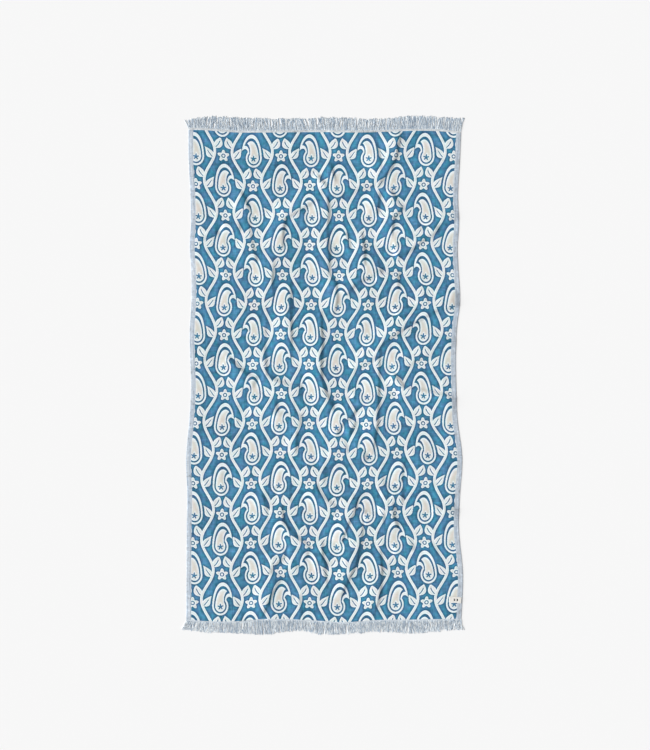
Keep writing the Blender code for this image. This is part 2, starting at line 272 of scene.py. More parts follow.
CREASE_RUNS = runs_of(LENGTHWISE_CREASES + UPPER_WRINKLES + LOWER_WRINKLES)
print("The creases have", len(CREASE_RUNS), "runs")

# %% How high a run lifts the cloth
AWAY_FROM_LIGHT = np.array([1.0, 0.07])
CREST_BACK = 0.45
END_REACH = 0.018


def hump(share):
    """1 in the middle, falling softly to 0 at a share of 1 either way."""
    return np.clip(1.0 - share * share, 0.0, 1.0) ** 2


def run_lift(run, x, y):
    """How far one run lifts the cloth at each place, steeply on its shaded side."""
    ahead = np.subtract(run.stop, run.start)
    length = np.hypot(*ahead)
    ahead = ahead / length
    side = np.array([ahead[1], -ahead[0]])
    side = side * np.sign(side @ AWAY_FROM_LIGHT)
    off_x = x - run.start[0]
    off_y = y - run.start[1]
    along = off_x * ahead[0] + off_y * ahead[1]
    held = np.clip(along, 0.0, length)
    past_crest = off_x * side[0] + off_y * side[1] + CREST_BACK * run.shade_side
    flank = past_crest / np.where(past_crest < 0.0, run.light_side, run.shade_side)
    rise = run.from_rise + (run.to_rise - run.from_rise) * held / length
    return rise * hump(np.hypot(flank, (along - held) / END_REACH))


def highest_lift(runs, x, y):
    """The greatest lift of all the runs at each place."""
    lift = np.zeros(np.shape(x))
    for run in runs:
        reach = run.light_side + run.shade_side
        near = np.full(np.shape(x), True)
        for place, start, stop in zip((x, y), run.start, run.stop):
            near &= np.abs(2 * place - start - stop) < abs(stop - start) + 2 * reach
        lift[near] = np.maximum(lift[near], run_lift(run, x[near], y[near]))
    return lift


foot = highest_lift(CREASE_RUNS, np.array([0.01]), np.array([0.56]))
print("The first crease lifts its foot by", foot, "m")

# %% [markdown]
# ## Small wrinkles and a gentle roll
#
# Between the creases the cloth is never quite flat. Many short, low wrinkles come from a
# seeded random generator, so that each run of the script gives the same ones. Most run along
# the towel, as the longer ones do. A sum of a few long waves adds the gentle roll that shows
# when light grazes the cloth.

# %% Small wrinkles
SMALL_WRINKLES = 190
WRINKLE_STEP = (0.01, 0.04)
WRINKLE_RISE = (0.0003, 0.0014)
WRINKLE_SIDE = (0.012, 0.022)
WRINKLE_TURN = (90, 28)
STEEPER = 0.55
LOWER_END = 0.6


def small_wrinkles(count, seed):
    """Short low runs spread over the cloth, most of them along it."""
    chance = random.Random(seed)
    made = []
    for number in range(count):
        x = chance.uniform(-0.43, 0.43)
        y = chance.uniform(-0.82, 0.82)
        turn = math.radians(chance.gauss(*WRINKLE_TURN))
        step_x = chance.uniform(*WRINKLE_STEP) * math.cos(turn)
        step_y = chance.uniform(*WRINKLE_STEP) * math.sin(turn)
        rise = chance.uniform(*WRINKLE_RISE)
        side = chance.uniform(*WRINKLE_SIDE)
        ends = ((x - step_x, y - step_y), (x + step_x, y + step_y))
        made.append(Run(*ends, side, STEEPER * side, rise, LOWER_END * rise))
    return made


SMALL_RUNS = small_wrinkles(SMALL_WRINKLES, seed=5)
print("Placed", len(SMALL_RUNS), "small wrinkles")

# %% The gentle roll, and all lifts together
ROLL_WAVES = 9
ROLL_HEIGHT = 0.0011
ROLL_LENGTH = (0.09, 0.34)
ROLL_TURN = (0, 45)
FLAT_END = 0.030
FLAT_SIDE = 0.028
SIDE_LIFT = 0.25


def gentle_roll(x, y):
    """A few long waves of different directions, from 0 to about 1."""
    chance = random.Random(8)
    total = np.zeros(np.shape(x))
    for wave in range(ROLL_WAVES):
        length = chance.uniform(*ROLL_LENGTH)
        turn = math.radians(chance.gauss(*ROLL_TURN))
        start = chance.uniform(0, 2 * math.pi)
        way = x * math.cos(turn) + 0.6 * y * math.sin(turn)
        total = total + np.sin(way * 2 * math.pi / length + start)
    return np.clip(0.5 + total / ROLL_WAVES, 0.0, 1.0)


def edge_share(x, y):
    """0 at the cloth's ends and SIDE_LIFT at its sides, rising to 1 a little way in."""
    bottom, top = end_edges(x)
    left, right = side_edges(y)
    from_end = np.clip(np.minimum(top - y, y - bottom) / FLAT_END, 0.0, 1.0)
    from_side = np.clip(np.minimum(x - left, right - x) / FLAT_SIDE, 0.0, 1.0)
    return from_end * (SIDE_LIFT + (1.0 - SIDE_LIFT) * from_side)


def cloth_lift(x, y):
    """How far the cloth is off the floor at each place."""
    creased = highest_lift(CREASE_RUNS, x, y) + highest_lift(SMALL_RUNS, x, y)
    return (creased + ROLL_HEIGHT * gentle_roll(x, y)) * edge_share(x, y)


print("The gentle roll adds up to", ROLL_HEIGHT, "m")

# %% [markdown]
# ## The cloth
#
# The cloth could be one plane with a Solidify modifier, but its hems are a little thicker
# than the rest and tilt down to their outer fold. So a flat grid is laid out first, with
# narrow columns near the edges, and its faces are extruded once to make the top. The top is
# then divided once more, because the creases are seen there, and each vertex gets its own
# height. One row past each end makes the heading, the plain band that the fringe grows from.

# %% Columns and rows
HEM_WIDTH = 0.0170
HEM_STEPS = [0.0, 0.0012, 0.0065, 0.0125, HEM_WIDTH]
INNER_COLUMNS = 118
INNER_ROWS = 148
HEADING = 0.0038

hem_shares = np.array(HEM_STEPS) / CLOTH_WIDTH
inner = np.linspace(hem_shares[-1], 1 - hem_shares[-1], INNER_COLUMNS + 1)
COLUMNS = np.concatenate([hem_shares[:-1], inner, 1 - hem_shares[-2::-1]])
inner = np.linspace(-CLOTH_LENGTH / 2, CLOTH_LENGTH / 2, INNER_ROWS + 1)
ROWS = np.concatenate([[inner[0] - HEADING], inner, [inner[-1] + HEADING]])
print("The underside has", len(COLUMNS) - 1, "columns and", len(ROWS) - 1, "rows")

# %% The heights of its two faces
CLOTH_THICKNESS = 0.0016
HEM_THICKNESS = 0.0020
HEM_SLOPE = 0.0045
HEM_TILT = 0.30
TOP_ROUNDING = 0.16
UNDER_ROUNDING = 0.10
ROUNDING_POWER = 16
UNDER_STEP = 0.007


def soft_step(share):
    """0 below a share of 0, 1 above a share of 1, and a smooth climb between."""
    share = np.clip(share, 0.0, 1.0)
    return share * share * (3.0 - 2.0 * share)


def cloth_body(x, y):
    """How thick the cloth is at each place, and its place on the hem, from 1 at the fold to 0."""
    left, right = side_edges(y)
    from_side = np.clip(np.minimum(x - left, right - x), 0.0, None)
    hem = soft_step((HEM_WIDTH - from_side) / HEM_SLOPE)
    thickness = CLOTH_THICKNESS + (HEM_THICKNESS - CLOTH_THICKNESS) * hem
    return thickness, np.clip(1.0 - from_side / HEM_WIDTH, 0.0, 1.0)


def cloth_top(x, y):
    """The height of the cloth's top at each place."""
    thickness, fold = cloth_body(x, y)
    share = 1.0 - HEM_TILT * fold - TOP_ROUNDING * fold**ROUNDING_POWER
    return cloth_lift(x, y) + thickness * share


def cloth_underside(x, y):
    """The height of its underside. It is less finely divided, so it keeps a little lower."""
    thickness, fold = cloth_body(x, y)
    steps = (-UNDER_STEP, 0.0, UNDER_STEP)
    lowest = np.min([cloth_lift(x + side, y + on) for side in steps for on in steps], axis=0)
    return lowest + UNDER_ROUNDING * thickness * fold**ROUNDING_POWER


print("At its middle the top is at a height of", cloth_top(np.array([0.0]), np.array([0.0])))

# %% A grid that knows its columns and rows
def grid_sheet(columns, rows):
    """A flat mesh of columns by rows faces, with each vertex's column and row."""
    mesh = bmesh.new()
    bmesh.ops.create_grid(mesh, x_segments=columns, y_segments=rows, size=1.0)
    places = np.array([vertex.co[:2] for vertex in mesh.verts])
    column = np.rint((places[:, 0] + 1.0) * 0.5 * columns).astype(int)
    row = np.rint((places[:, 1] + 1.0) * 0.5 * rows).astype(int)
    return mesh, column, row


def put_vertices(mesh, x, y, z):
    """Move each vertex to its own place."""
    for vertex, place in zip(mesh.verts, np.stack([x, y, z], axis=1).tolist()):
        vertex.co = place


def extrude_top(mesh):
    """Extrude all faces of a sheet together, and return the new vertices."""
    raised = bmesh.ops.extrude_face_region(mesh, geom=mesh.faces[:], use_keep_orig=True)
    return [item for item in raised["geom"] if isinstance(item, bmesh.types.BMVert)]


cloth_mesh, column, row = grid_sheet(len(COLUMNS) - 1, len(ROWS) - 1)
plan_u = (COLUMNS[column] - 0.5) * CLOTH_WIDTH
put_vertices(cloth_mesh, plan_u, ROWS[row], np.zeros_like(plan_u))
print("The flat grid has", len(cloth_mesh.faces), "faces")

# %% [markdown]
# The sheet stays flat and straight until it has all its vertices, so that each new one falls
# at its right place on the cloth. The extruded top waits a metre up meanwhile, which makes it
# easy to tell from the underside.

# %% Extrude the top and divide it
bmesh.ops.translate(cloth_mesh, verts=extrude_top(cloth_mesh), vec=(0.0, 0.0, 1.0))
top_edges = [edge for edge in cloth_mesh.edges if min(end.co.z for end in edge.verts) > 0.9]
bmesh.ops.subdivide_edges(cloth_mesh, edges=top_edges, cuts=1, use_grid_fill=True)
print("The closed cloth has", len(cloth_mesh.faces), "faces")

# %% [markdown]
# The woven design has to follow the threads, not the room. So each point keeps its place on
# the unwrinkled cloth, in metres, in a UV map. A second map is kept for baking pictures of the
# finished cloth: the top fills its left half and the underside its right half.

# %% A map of the cloth in metres
plan = cloth_mesh.loops.layers.uv.new("cloth_plan")
for face in cloth_mesh.faces:
    for loop in face.loops:
        loop[plan].uv = loop.vert.co.xy
print("Each of", len(cloth_mesh.verts), "vertices has its place on the cloth")

# %% Put every vertex in its place
HEADING_THINNING = 0.30

u, v, level = np.array([vertex.co for vertex in cloth_mesh.verts]).T
is_top = level > 0.5
on_cloth = np.clip(v, -CLOTH_LENGTH / 2, CLOTH_LENGTH / 2)
x, y = cloth_place(u / CLOTH_WIDTH + 0.5, on_cloth / CLOTH_LENGTH + 0.5)
past_end = v - on_cloth
z = np.zeros_like(x)
z[is_top] = cloth_top(x[is_top], y[is_top])
z[is_top] *= 1.0 - HEADING_THINNING * soft_step(np.abs(past_end[is_top]) / HEADING)
z[~is_top] = cloth_underside(x[~is_top], y[~is_top])
put_vertices(cloth_mesh, x, y + past_end, z)
bmesh.ops.recalc_face_normals(cloth_mesh, faces=cloth_mesh.faces[:])
print("The top reaches a height of", float(z.max()), "m")

# %% The map for baking, and a second material for the underside
bake = cloth_mesh.loops.layers.uv.new("OFBake")
plan = cloth_mesh.loops.layers.uv["cloth_plan"]
full_length = CLOTH_LENGTH + 2 * HEADING
for face in cloth_mesh.faces:
    is_under = face.normal.z < -0.5
    face.material_index = 1 if is_under else 0
    left_edge = 0.505 if is_under else 0.005
    for loop in face.loops:
        u, v = loop[plan].uv
        bake_u = left_edge + 0.49 * (u / CLOTH_WIDTH + 0.5)
        loop[bake].uv = (bake_u, 0.005 + 0.99 * (v / full_length + 0.5))
print("Underside faces:", sum(face.material_index for face in cloth_mesh.faces))

# %% [markdown]
# ## From mesh to object
#
# Every finished piece becomes an object that stays at the origin, with its place in its mesh.
# The solid towel was slid a little after it was shaped, so that it is centred. The same slide
# is found here by comparing the new cloth with the solid one.

# %% How far the solid was slid
low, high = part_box("cloth")
sides_x = cloth_place(np.array([[0.0], [1.0]]), np.linspace(0.0, 1.0, 61))[0]
ends_y = cloth_place(np.linspace(0.0, 1.0, 61), np.array([[0.0], [1.0]]))[1]
SLIDE_X = 0.5 * (low.x + high.x) - 0.5 * (sides_x.min() + sides_x.max())
SLIDE_Y = 0.5 * (low.y + high.y) - 0.5 * (ends_y.min() + ends_y.max())
print("The solid was slid by", SLIDE_X, "and", SLIDE_Y, "m")

# %% Finishing a piece
def new_object(name, data):
    """An object in the scene that shows a mesh, a light or a camera."""
    made = bpy.data.objects.new(name, data)
    bpy.context.scene.collection.objects.link(made)
    return made


def finish_piece(name, mesh, materials):
    """Turn a bmesh into a smooth object at the origin that rides with the towel."""
    bmesh.ops.translate(mesh, verts=mesh.verts[:], vec=(SLIDE_X, SLIDE_Y, 0.0))
    data = bpy.data.meshes.new(name)
    mesh.to_mesh(data)
    mesh.free()
    data.shade_smooth()
    for material in materials:
        data.materials.append(material)
    piece = new_object(name, data)
    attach(piece, "root")
    triangles = sum(len(polygon.vertices) - 2 for polygon in data.polygons)
    print(name, "has", triangles, "triangles")
    return piece


# %% [markdown]
# ## Making materials out of small sums
#
# The woven design is drawn by sums on the place on the cloth, in Math nodes. Hundreds of
# Math nodes are tedious to place one by one, so a small helper class lets the script write
# a plain formula and places the nodes for it. A wire is one number that a node puts out.

# %% Wires
class Wire:
    """A number or colour that a node puts out. A sum of wires places its Math nodes."""

    def __init__(self, socket):
        self.socket = socket
        self.tree = socket.id_data

    def math(self, operation, *others):
        return math_node(self.tree, operation, self, *others)

    def __add__(self, other):
        return self.math("ADD", other)

    def __sub__(self, other):
        return self.math("SUBTRACT", other)

    def __rsub__(self, other):
        return math_node(self.tree, "SUBTRACT", other, self)

    def __mul__(self, other):
        return self.math("MULTIPLY", other)

    def __truediv__(self, other):
        return self.math("DIVIDE", other)

    __radd__ = __add__
    __rmul__ = __mul__


def connect(value, socket):
    """Feed a socket from a wire, or set it to a plain value."""
    if isinstance(value, Wire):
        value.tree.links.new(value.socket, socket)
    else:
        socket.default_value = value


def place_node(tree, kind, *values, **settings):
    """Place a node, set it up, and feed its inputs in their order."""
    node = tree.nodes.new("ShaderNode" + kind)
    for name, setting in settings.items():
        setattr(node, name, setting)
    for value, socket in zip(values, node.inputs):
        connect(value, socket)
    return node


def feed_inputs(node, **values):
    """Feed or set inputs of a node by name, with a low line for each space in it."""
    for label, value in values.items():
        connect(value, node.inputs[label.replace("_", " ")])


def math_node(tree, operation, *values):
    return Wire(place_node(tree, "Math", *values, operation=operation).outputs[0])


print("A wire can be added, taken away, multiplied and divided")

# %% Limits, steps and mixes of wires
def lower(first, second):
    return first.math("MINIMUM", second)


def higher(first, second):
    return first.math("MAXIMUM", second)


def size_of(first):
    return first.math("ABSOLUTE")


def wrap(first, span):
    """What is left over when whole spans are taken away."""
    return first.math("FLOORED_MODULO", span)


def distance(x, y):
    return (x * x + y * y).math("SQRT")


def limited(first):
    """Kept from 0 to 1."""
    return lower(higher(first, 0.0), 1.0)


def between(share, first, second):
    """The first value at a share of 0, the second at 1."""
    return first + (second - first) * share


def turned_by(x, y, turn):
    """A place seen from axes that are turned by an angle."""
    cosine, sine = math.cos(turn), math.sin(turn)
    return x * cosine + y * sine, y * cosine - x * sine


print("A limit, a wrap and a distance are each a few Math nodes")

# %% Noise and colours of wires
def noise_at(x, y, z, scale, detail=2.0):
    """Smooth noise from 0 to 1 at a place."""
    place = place_node(x.tree, "CombineXYZ", x, y, z)
    node = place_node(x.tree, "TexNoise", Wire(place.outputs[0]))
    feed_inputs(node, Scale=scale, Detail=detail)
    return Wire(node.outputs["Fac"])


def stretched(noise, contrast):
    """The noise with more contrast, kept from 0 to 1."""
    return limited((noise - 0.5) * contrast + 0.5)


def mix_colours(share, first, second, way="MIX"):
    """The first colour at a share of 0, the second at 1, or both multiplied by that share."""
    node = place_node(share.tree, "Mix", share, data_type="RGBA", blend_type=way)
    connect(first, node.inputs[6])
    connect(second, node.inputs[7])
    return Wire(node.outputs[2])


def shaded(colour, shade):
    """The colour, made darker or lighter by a number."""
    node = place_node(colour.tree, "VectorMath", colour, operation="SCALE")
    feed_inputs(node, Scale=shade)
    return Wire(node.outputs[0])


def linear(red, green, blue):
    """A colour from 0 to 255 as the linear numbers that a shader works in."""
    made = []
    for value in (red, green, blue):
        share = value / 255.0
        made.append(share / 12.92 if share <= 0.04045 else ((share + 0.055) / 1.055) ** 2.4)
    return (*made, 1.0)


print("Middle grey is", linear(128, 128, 128))

# %% Node groups with named sockets
PLACE = {"X": 0.0, "Y": 0.0}
SHAPE = {"Shape": 0.0}


def start_group(name, inputs, outputs):
    """A new node group with named sockets and their usual values, and a wire from each input."""
    group = bpy.data.node_groups.new(name, "ShaderNodeTree")
    for side, sockets in (("INPUT", inputs), ("OUTPUT", outputs)):
        for label, value in sockets.items():
            kind = "NodeSocketColor" if isinstance(value, tuple) else "NodeSocketFloat"
            socket = group.interface.new_socket(name=label, in_out=side, socket_type=kind)
            socket.default_value = value
    entry = group.nodes.new("NodeGroupInput")
    group.nodes.new("NodeGroupOutput")
    return group, [Wire(socket) for socket in entry.outputs[: len(inputs)]]


def end_group(group, *values):
    """Send the values to the group's outputs, in the order of their names."""
    way_out = next(node for node in group.nodes if node.bl_idname == "NodeGroupOutput")
    for value, socket in zip(values, way_out.inputs):
        connect(value, socket)
    spread_nodes(group)
    print("Group", group.name, "has", len(group.nodes), "nodes")


def spread_nodes(tree):
    """Lay the nodes out in rows, so that they can be read in the editor."""
    for number, node in enumerate(tree.nodes):
        node.location = (190 * (number % 14), -230 * (number // 14))


def use_group(group, *values):
    """Place a group, feed its inputs in order, and return a wire from each output."""
    node = place_node(values[0].tree, "Group", *values, node_tree=group)
    wires = [Wire(socket) for socket in node.outputs]
    return wires[0] if len(wires) == 1 else wires


print("Groups can be made and placed")

# %% [markdown]
# ## The woven design
#
# The design is an old and common one: leafy vines swing apart and together and leave tall
# openings, each with a paisley and a small blossom in it. Every second column of openings
# is set half a repeat higher. All its numbers are in millimetres on a plain drawing, which
# is then woven a little larger.
#
# Each shape is a number that is below 0 inside the shape and grows with the distance from
# its edge. The lower of two such numbers joins two shapes, and the higher one cuts a shape.

# %% Openings between the vines
VINE_STEP = 94.0
REPEAT = 196.0
VINE_SWING = 19.0
REPEAT_TURN = 2 * math.pi / REPEAT


def vine_reach(along):
    """How far the vines are from the middle of their opening."""
    return (along * REPEAT_TURN).math("SINE") * VINE_SWING + VINE_STEP / 2


openings, (x, y) = start_group(
    "Openings between vines", PLACE, {"Across": 0.0, "Along": 0.0, "From vine": 0.0}
)
number = (x / VINE_STEP).math("FLOOR")
odd = wrap(number, 2.0)
across = x - (number + 0.5) * VINE_STEP
along = wrap(y + odd * (REPEAT / 2), REPEAT)
beyond = size_of(across).math("GREATER_THAN", vine_reach(along))
across = across - beyond * across.math("SIGN") * VINE_STEP
along = wrap(along + beyond * (REPEAT / 2), REPEAT)
odd = size_of(odd - beyond)
slope = (along * REPEAT_TURN).math("COSINE") * (VINE_SWING * REPEAT_TURN)
from_vine = (vine_reach(along) - size_of(across)) * (slope * slope + 1.0).math("INVERSE_SQRT")
end_group(openings, across * (1.0 - 2.0 * odd), along, from_vine)

# %% The vine and its leaves
VINE_HALF_WIDTH = 4.3
LEAF_STEP = REPEAT / 3
LEAF_START = 52.0
LEAF_BACK = 14.0
LEAF_TURN = math.radians(40)
LEAF_LENGTH = 47.0
LEAF_WIDTH = 10.4
LEAF_BEND = 3.5
VEIN_HALF_WIDTH = 1.3
VEIN_FROM = 0.12
VEIN_TO = 0.70
BARE_FROM = 80.0
BARE_TO = 146.0
STEEP = 1000.0

vine, (along, from_vine) = start_group("Leafy vine", {"Along": 0.0, "From vine": 0.0}, SHAPE)
step = wrap(along + LEAF_START, LEAF_STEP) - LEAF_BACK
leaf_x, leaf_y = turned_by(step, from_vine, LEAF_TURN)
leaf_x = leaf_x / LEAF_LENGTH
arch = leaf_x * (1.0 - leaf_x) * 4.0
from_rib = size_of(leaf_y - arch * LEAF_BEND)
leaf = from_rib - arch * LEAF_WIDTH * (1.3 - leaf_x * 0.6)
vein = lower(VEIN_HALF_WIDTH - from_rib, lower(leaf_x - VEIN_FROM, VEIN_TO - leaf_x) * STEEP)
leaf = higher(leaf, vein)
leaf = higher(leaf, higher(0.0 - leaf_x, leaf_x - 1.0) * STEEP)
leaf = higher(leaf, lower(along - BARE_FROM, BARE_TO - along) * STEEP)
end_group(vine, lower(from_vine - VINE_HALF_WIDTH, leaf))

# %% Blossoms
PETALS = 5

blossom, (x, y, radius, wave) = start_group(
    "Five petals", {**PLACE, "Radius": 15.0, "Wave": 4.0}, SHAPE
)
petal_turn = (y.math("ARCTAN2", x) - math.radians(90)) * PETALS
end_group(blossom, distance(x, y) - radius - petal_turn.math("COSINE") * wave)

# %% The paisley
PAISLEY_PLACE = (-5.0, 30.0)
PAISLEY_TURN = math.radians(4)
BULB_RADIUS = 26.0
BULB_SQUASH = 0.86
TAIL_RADIUS = 21.0
TAIL_SQUASH = 0.44
TAIL_END = math.radians(28)
TAIL_TAPER = 0.90

paisley, (x, y) = start_group("Paisley", PLACE, SHAPE)
bulb = distance(x, y * BULB_SQUASH) - BULB_RADIUS
tail_x = x - TAIL_RADIUS
tail_y = y * TAIL_SQUASH
turned = wrap(tail_y.math("ARCTAN2", tail_x) - TAIL_END, 2 * math.pi)
share = turned / (math.pi - TAIL_END)
tail_width = limited(share).math("POWER", TAIL_TAPER) * BULB_RADIUS
tail = size_of(distance(tail_x, tail_y) - TAIL_RADIUS) - tail_width
tail = higher(tail, (share - 1.0) * STEEP)
end_group(paisley, lower(bulb, tail))

# %% The whole repeat
LINE_DEPTH = 7.6
LINE_HALF_WIDTH = 2.3
STAR_PLACE = (0.5, -2.0)
STAR_SIZES = (7.4, 3.2)
PAISLEY_GAP = 4.2
BLOSSOM_PLACE = (0.0, 134.0)
BLOSSOM_SIZES = (15.5, 4.2)
RING_RADIUS = 5.4
RING_HALF_WIDTH = 1.7
BLOSSOM_GAP = 22.0


def around(across, along, place, turn):
    """The place seen from a motif's own middle, turned with it, in each repeat."""
    off_y = wrap(along - place[1] + REPEAT / 2, REPEAT) - REPEAT / 2
    return turned_by(across - place[0], off_y, turn)


repeat, (x, y) = start_group("Vine repeat", PLACE, SHAPE)
across, along, from_vine = use_group(openings, x, y)
shape = use_group(vine, along, from_vine)

near_x, near_y = around(across, along, PAISLEY_PLACE, PAISLEY_TURN)
drop = use_group(paisley, near_x, near_y)
inner_line = LINE_HALF_WIDTH - size_of(drop + LINE_DEPTH)
star_x, star_y = near_x - STAR_PLACE[0], near_y - STAR_PLACE[1]
star = 0.0 - use_group(blossom, star_x, star_y, *STAR_SIZES)
shape = higher(shape, PAISLEY_GAP - drop)
shape = lower(shape, higher(higher(drop, inner_line), star))

near_x, near_y = around(across, along, BLOSSOM_PLACE, 0.0)
petals = use_group(blossom, near_x, near_y, *BLOSSOM_SIZES)
from_middle = distance(near_x, near_y)
ring = RING_HALF_WIDTH - size_of(from_middle - RING_RADIUS)
shape = higher(shape, BLOSSOM_GAP - from_middle)
end_group(repeat, lower(shape, higher(petals, ring)))

# %% [markdown]
# ## Threads
#
# Up close a woven edge is not a smooth curve. It climbs in steps of one thread, because each
# crossing shows either the blue or the cream yarn. So the design is read at the middle of
# each thread crossing. The plain weave itself is a chequer of small arches, where the thread
# on top runs along or across in turn.

# %% Plain weave
THREAD_DIP = 0.45

weave, (x, y, pitch) = start_group(
    "Plain weave", {**PLACE, "Pitch": 0.001}, {"Height": 0.0, "Lengthwise on top": 0.0}
)
cell_x = x / pitch
cell_y = y / pitch
lengthwise = wrap(cell_x.math("FLOOR") + cell_y.math("FLOOR"), 2.0)
off_x = wrap(cell_x, 1.0) * 2.0 - 1.0
off_y = wrap(cell_y, 1.0) * 2.0 - 1.0
across_thread = between(lengthwise, off_y, off_x)
along_thread = between(lengthwise, off_x, off_y)
dip = THREAD_DIP * along_thread * along_thread
end_group(weave, (1.0 - across_thread * across_thread) * (1.0 - dip), lengthwise)

# %% Uneven threads
SLUB_ACROSS = 700.0
SLUB_ALONG = 14.0
SLUB_TONE = 0.20
CLOUD_SCALE = 9.0
CLOUD_TONE = 0.16
MOTTLE_SCALE = 70.0
MOTTLE_TONE = 0.30

threads, (x, y) = start_group("Uneven threads", PLACE, {"Tone": 1.0})
lengthwise_slub = noise_at(x * SLUB_ACROSS, y * SLUB_ALONG, 1.7, 1.0, 1.0)
crosswise_slub = noise_at(x * SLUB_ALONG, y * SLUB_ACROSS, 6.1, 1.0, 1.0)
cloudy = noise_at(x, y, 2.4, CLOUD_SCALE, 3.0)
mottled = noise_at(x, y, 8.3, MOTTLE_SCALE)
slubs = lengthwise_slub + crosswise_slub - 1.0
tone = slubs * SLUB_TONE + (cloudy - 0.5) * CLOUD_TONE + (mottled - 0.5) * MOTTLE_TONE
end_group(threads, tone + 1.0)

# %% [markdown]
# ## Colours
#
# Colours are picked on the usual scale from 0 to 255. The cream is a little warmer inside its
# shapes and whiter at their edges. The blue is made a little deeper near them, which is
# painted shade for the dip where the two layers of cloth change places. The rim says how
# closely the edge colour keeps to the edge. The blue dye has taken unevenly, a little greener
# in some places and a little redder in others.

# %% Colours
Threads = namedtuple("Threads", "colour edge rim unevenness dye")

# The blue's edge colour is painted shade at each change of colour; the cream's is a whiter rim.
BLUE = Threads(linear(75, 139, 175), linear(30, 87, 124), 1.5, 4.0, 1.0)
CREAM = Threads(linear(215, 211, 202), linear(235, 249, 255), 2.2, 0.7, 0.12)
HEM_BLUE = linear(158, 176, 196)
HEM_CREAM = linear(212, 218, 223)
GREENER = (0.68, 1.04, 0.94, 1.0)
REDDER = (1.32, 0.94, 1.02, 1.0)
print("The blue ground is", BLUE.colour)

# %% One woven face
THREAD = 0.001
DRAWING_SCALE = 1.06
CHANGE_WIDTH = 12.0
DYE_SCALE = 55.0

face_inputs = dict(PLACE)
for part, usual in (("Ground", BLUE), ("Figure", CREAM)):
    face_inputs.update({f"{part} {field}": value for field, value in usual._asdict().items()})
woven_face, (x, y, *wires) = start_group(
    "Woven face", face_inputs, {"Colour": BLUE.colour, "Height": 0.0, "Roughness": 0.9}
)
ground = Threads(*wires[:5])
figure = Threads(*wires[5:])
to_drawing = THREAD * 1000.0 / DRAWING_SCALE
drawing_x = ((x / THREAD).math("FLOOR") + 0.5) * to_drawing
drawing_y = ((y / THREAD).math("FLOOR") + 0.5) * to_drawing
design = use_group(repeat, drawing_x, drawing_y) * DRAWING_SCALE
in_figure = limited(0.5 - design * 2.0)
near_change = 1.0 - limited(size_of(design) / CHANGE_WIDTH)
# On the blue, the edge colour near a change of colour is painted shade.
ground_colour = mix_colours(near_change.math("POWER", ground.rim), ground.colour, ground.edge)
figure_colour = mix_colours(near_change.math("POWER", figure.rim), figure.colour, figure.edge)
colour = mix_colours(in_figure, ground_colour, figure_colour)
dye = mix_colours(stretched(noise_at(x, y, 5.3, DYE_SCALE), 3.0), GREENER, REDDER)
colour = mix_colours(between(in_figure, ground.dye, figure.dye), colour, dye, "MULTIPLY")
print("The design is woven", DRAWING_SCALE, "times as large as it is drawn")

# %% [markdown]
# The hems and the headings are plain: they show no design, only pale streaks of blue and
# cream yarn. Away from the edges of its shapes the double cloth puffs up a little.

# %% Its hems, headings and relief
WEAVE_DEPTH = 0.00014
PUFF_HEIGHT = 0.00045
PLAIN_TOP = 0.0042
PLAIN_BOTTOM = 0.0010
SHARP = 2000.0
STREAK_ACROSS = 900.0
STREAK_ALONG = 12.0
HEADING_STREAK = 0.45
TOP_CREAM = 0.3
PUFF_POWER = 1.5

arch, lengthwise = use_group(weave, x, y, THREAD)
tone = use_group(threads, x, y)
hem = limited((size_of(x) - (CLOTH_WIDTH / 2 - HEM_WIDTH)) * SHARP)
at_top = limited(y * SHARP)
plain_end = at_top * (PLAIN_TOP - PLAIN_BOTTOM) + PLAIN_BOTTOM
heading = limited((size_of(y) + plain_end - CLOTH_LENGTH / 2) * SHARP)
plain = higher(hem, heading)
streak = stretched(noise_at(x * STREAK_ACROSS, y * STREAK_ALONG, 4.4, 1.0), 2.6)
streak = streak * (1.0 - HEADING_STREAK * heading) + HEADING_STREAK * heading
plain_colour = mix_colours(streak, HEM_BLUE, HEM_CREAM)
plain_colour = mix_colours(heading * at_top * TOP_CREAM, plain_colour, CREAM.colour)
unevenness = (tone - 1.0) * between(in_figure, ground.unevenness, figure.unevenness)
# The arch term is painted shade: the dips between the thread arches are made darker.
shade = (unevenness + 1.0) * (arch * 0.16 + 0.88)
colour = shaded(mix_colours(plain, colour, plain_colour), shade)
puff = (1.0 - near_change.math("POWER", PUFF_POWER)) * (1.0 - plain) * PUFF_HEIGHT
end_group(woven_face, colour, arch * WEAVE_DEPTH + puff, 0.96 - arch * 0.08)

# %% [markdown]
# The shader itself stays in each material. Cotton is matt, with a little sheen where light
# grazes its fibres. The height from the group goes through a Bump node, whose distance of
# 1 means that the height is in metres.

# %% Fabric materials
def new_material(name):
    """A material with nodes, and its node tree."""
    material = bpy.data.materials.new(name)
    material.use_nodes = True
    return material, material.node_tree


def finish_cotton(tree, colour, height, roughness, sheen):
    """Feed a matt cotton shader, with its height through a Bump node."""
    bump = place_node(tree, "Bump")
    feed_inputs(bump, Strength=1.0, Distance=1.0, Height=height)
    shader = tree.nodes["Principled BSDF"]
    feed_inputs(shader, Base_Color=colour, Roughness=roughness, Metallic=0.0)
    feed_inputs(shader, Normal=Wire(bump.outputs["Normal"]), Specular_IOR_Level=0.20)
    feed_inputs(shader, Sheen_Weight=sheen, Sheen_Roughness=0.6)
    spread_nodes(tree)


def parts_of(socket):
    """A wire from each of the three numbers of a place."""
    return [Wire(part) for part in place_node(socket.id_data, "SeparateXYZ", Wire(socket)).outputs]


def map_wires(tree, name):
    """The place on a flat piece, in metres, from its UV map."""
    return parts_of(place_node(tree, "UVMap", uv_map=name).outputs["UV"])[:2]


print("Cotton has a roughness of about 0.9")

# %% The finished cloth
def cloth_material(name, ground, figure):
    """A woven face with its own ground and figure threads."""
    material, tree = new_material(name)
    x, y = map_wires(tree, "cloth_plan")
    finish_cotton(tree, *use_group(woven_face, x, y, *ground, *figure), sheen=0.10)
    return material


